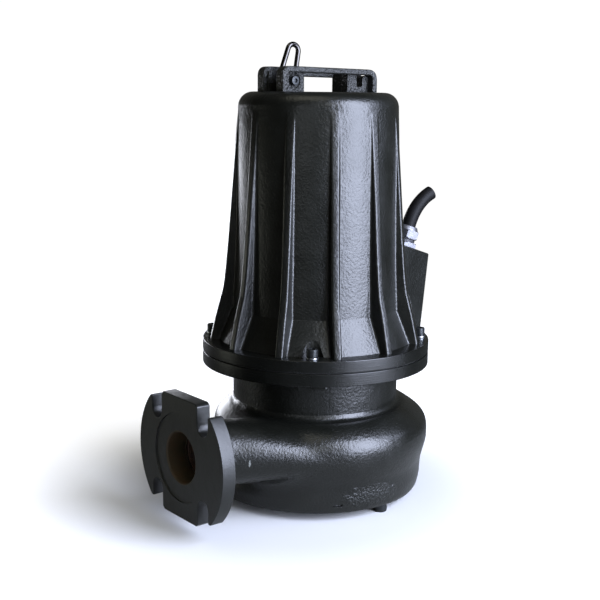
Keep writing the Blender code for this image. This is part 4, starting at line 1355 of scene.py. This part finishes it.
@dataclass
class Studio:
    """Pale floor, soft boxes and the camera."""

    lens: float = 64.8686
    spot: tuple[float, float, float] = (-0.75683, -0.95715, 0.45699)
    forward: tuple[float, float, float] = (0.613589, 0.768067, -0.183251)
    roll: float = 0.6
    glow: float = 0.75
    lights: tuple[SoftBox, ...] = (
        SoftBox("key_box", 283.0, 1.35, 0.90, (0.92, 1.76), 19.0, "#dde6ff", 0.90),
        SoftBox("right_key", 316.0, 1.40, 0.95, (0.34, 1.00), 6.0, "#dbe4ff", 0.70),
        SoftBox("side_spill", 248.0, 1.40, 0.95, (0.60, 0.80), 1.7, "#f4f7f0", 0.60),
        SoftBox("backdrop_glow", 82.0, 1.40, 0.20, (0.90, 0.36), 8.2, "#f2f5ff", 0.20),
        SoftBox("left_strip", 137.0, 1.35, 0.10, (0.50, 0.30), 2.6, "#fbfff0", 0.12),
        SoftBox("front_fill", 212.0, 1.45, 0.55, (0.50, 0.45), 1.2, "#f6fbff", 0.50),
        SoftBox("ceiling", 205.0, 0.60, 1.80, (1.10, 0.90), 1.2, "#fffbe6", 0.25))

    def build(self) -> None:
        """Make the camera, the floor, the world and the lights."""
        bpy.context.scene.view_settings.view_transform = "Standard"
        self.make_camera()
        self.make_floor()
        self.make_world()
        for light in self.lights:
            light.stand()

    def make_camera(self) -> None:
        """Stand the camera where the photograph was taken from."""
        view = Vector(self.forward).normalized()
        right = view.cross(Vector((0.0, 0.0, 1.0))).normalized()
        up = right.cross(view)
        turn = math.radians(self.roll)
        across = right * math.cos(turn) + up * math.sin(turn)
        upward = up * math.cos(turn) - right * math.sin(turn)
        camera = add_object("camera", bpy.data.cameras.new("camera"))
        camera.data.lens = self.lens
        camera.data.sensor_width = 36.0
        camera.data.clip_start = 0.05
        camera.data.clip_end = 50.0
        camera.matrix_world = Matrix.LocRotScale(
            Vector(self.spot), Matrix((across, upward, -view)).transposed().to_quaternion(), None)
        bpy.context.scene.camera = camera

    def make_floor(self) -> None:
        """Round floor of white paper.

        The eye sees it lit from behind, but for a ring round the pump. For the enamel's
        reflections its colour holds painted light: a painted pool of light under the key box,
        and painted falloff that turns it grey and darker far out.
        """
        data = bpy.data.meshes.new("studio_floor")
        shape = bmesh.new()
        bmesh.ops.create_circle(shape, cap_ends=True, segments=128, radius=1.15)
        shape.to_mesh(data)
        shape.free()
        floor = add_object("studio_floor", data)
        material = bpy.data.materials.new("white_paper_sweep")
        material.use_nodes = True
        tree = material.node_tree
        wiring = Wiring(tree)
        seen = add_node(tree, "ShaderNodeLightPath").outputs["Is Camera Ray"]
        reach = wiring.vector("LENGTH", wiring.place)
        # Painted falloff: the floor's colour in reflections turns grey and darker far out.
        dim = wiring.blend(wiring.ramp(reach, 0.22, 0.55), linear("#a8a8a4"), linear("#4c4c48"))
        away = wiring.vector("DISTANCE", wiring.place, (0.35, -1.30, 0.0))
        # Painted pool of light: whiter colour where the key box would light the floor.
        lit = wiring.blend(wiring.ramp(away, 0.70, 0.95), linear("#dcdcd8"), dim)
        glow = wiring.math("MULTIPLY", seen, wiring.ramp(reach, 0.15, 0.38, 0.0, self.glow))
        feed(tree, tree.nodes["Principled BSDF"], {
            "Base Color": wiring.blend(seen, lit, linear("#d4d4d4")), "Roughness": 0.8,
            "Specular IOR Level": 0.1, "Emission Color": linear("#ffffff"),
            "Emission Strength": glow})
        data.materials.append(material)

    def make_world(self) -> None:
        """White behind the pump for the eye, and a dim warm room for the reflections."""
        world = bpy.data.worlds.new("studio")
        bpy.context.scene.world = world
        world.use_nodes = True
        tree = world.node_tree
        wiring = Wiring(tree, "Generated")
        behind = wiring.vector("DOT_PRODUCT", wiring.place, (0.62, 0.78, 0.05))
        room = tree.nodes["Background"]
        feed(tree, room, {"Color": linear("#f0efe4"),
                          "Strength": wiring.ramp(behind, 0.3, 1.0, 0.04, 0.12)})
        white = add_node(tree, "ShaderNodeBackground", None,
                         {"Color": linear("#ffffff"), "Strength": 1.02})
        seen = add_node(tree, "ShaderNodeLightPath").outputs["Is Camera Ray"]
        mix = add_node(tree, "ShaderNodeMixShader", None,
                       {0: seen, 1: room.outputs[0], 2: white.outputs[0]})
        feed(tree, tree.nodes["World Output"], {"Surface": mix.outputs[0]})


def main() -> None:
    """Build the studio and every piece of the pump."""
    logging.basicConfig(level=logging.INFO, format="%(name)s: %(message)s")
    Studio().build()
    bench = Bench()
    CableEntry(bench).build()
    MotorCover(bench).build()
    FlangeScrews(bench).build()
    OilChamber(bench).build()
    VoluteCasing(bench).build()
    DischargeFlange(bench).build()
    Underside(bench).build()
    Handle(bench).build()


if __name__ == "__main__":
    main()
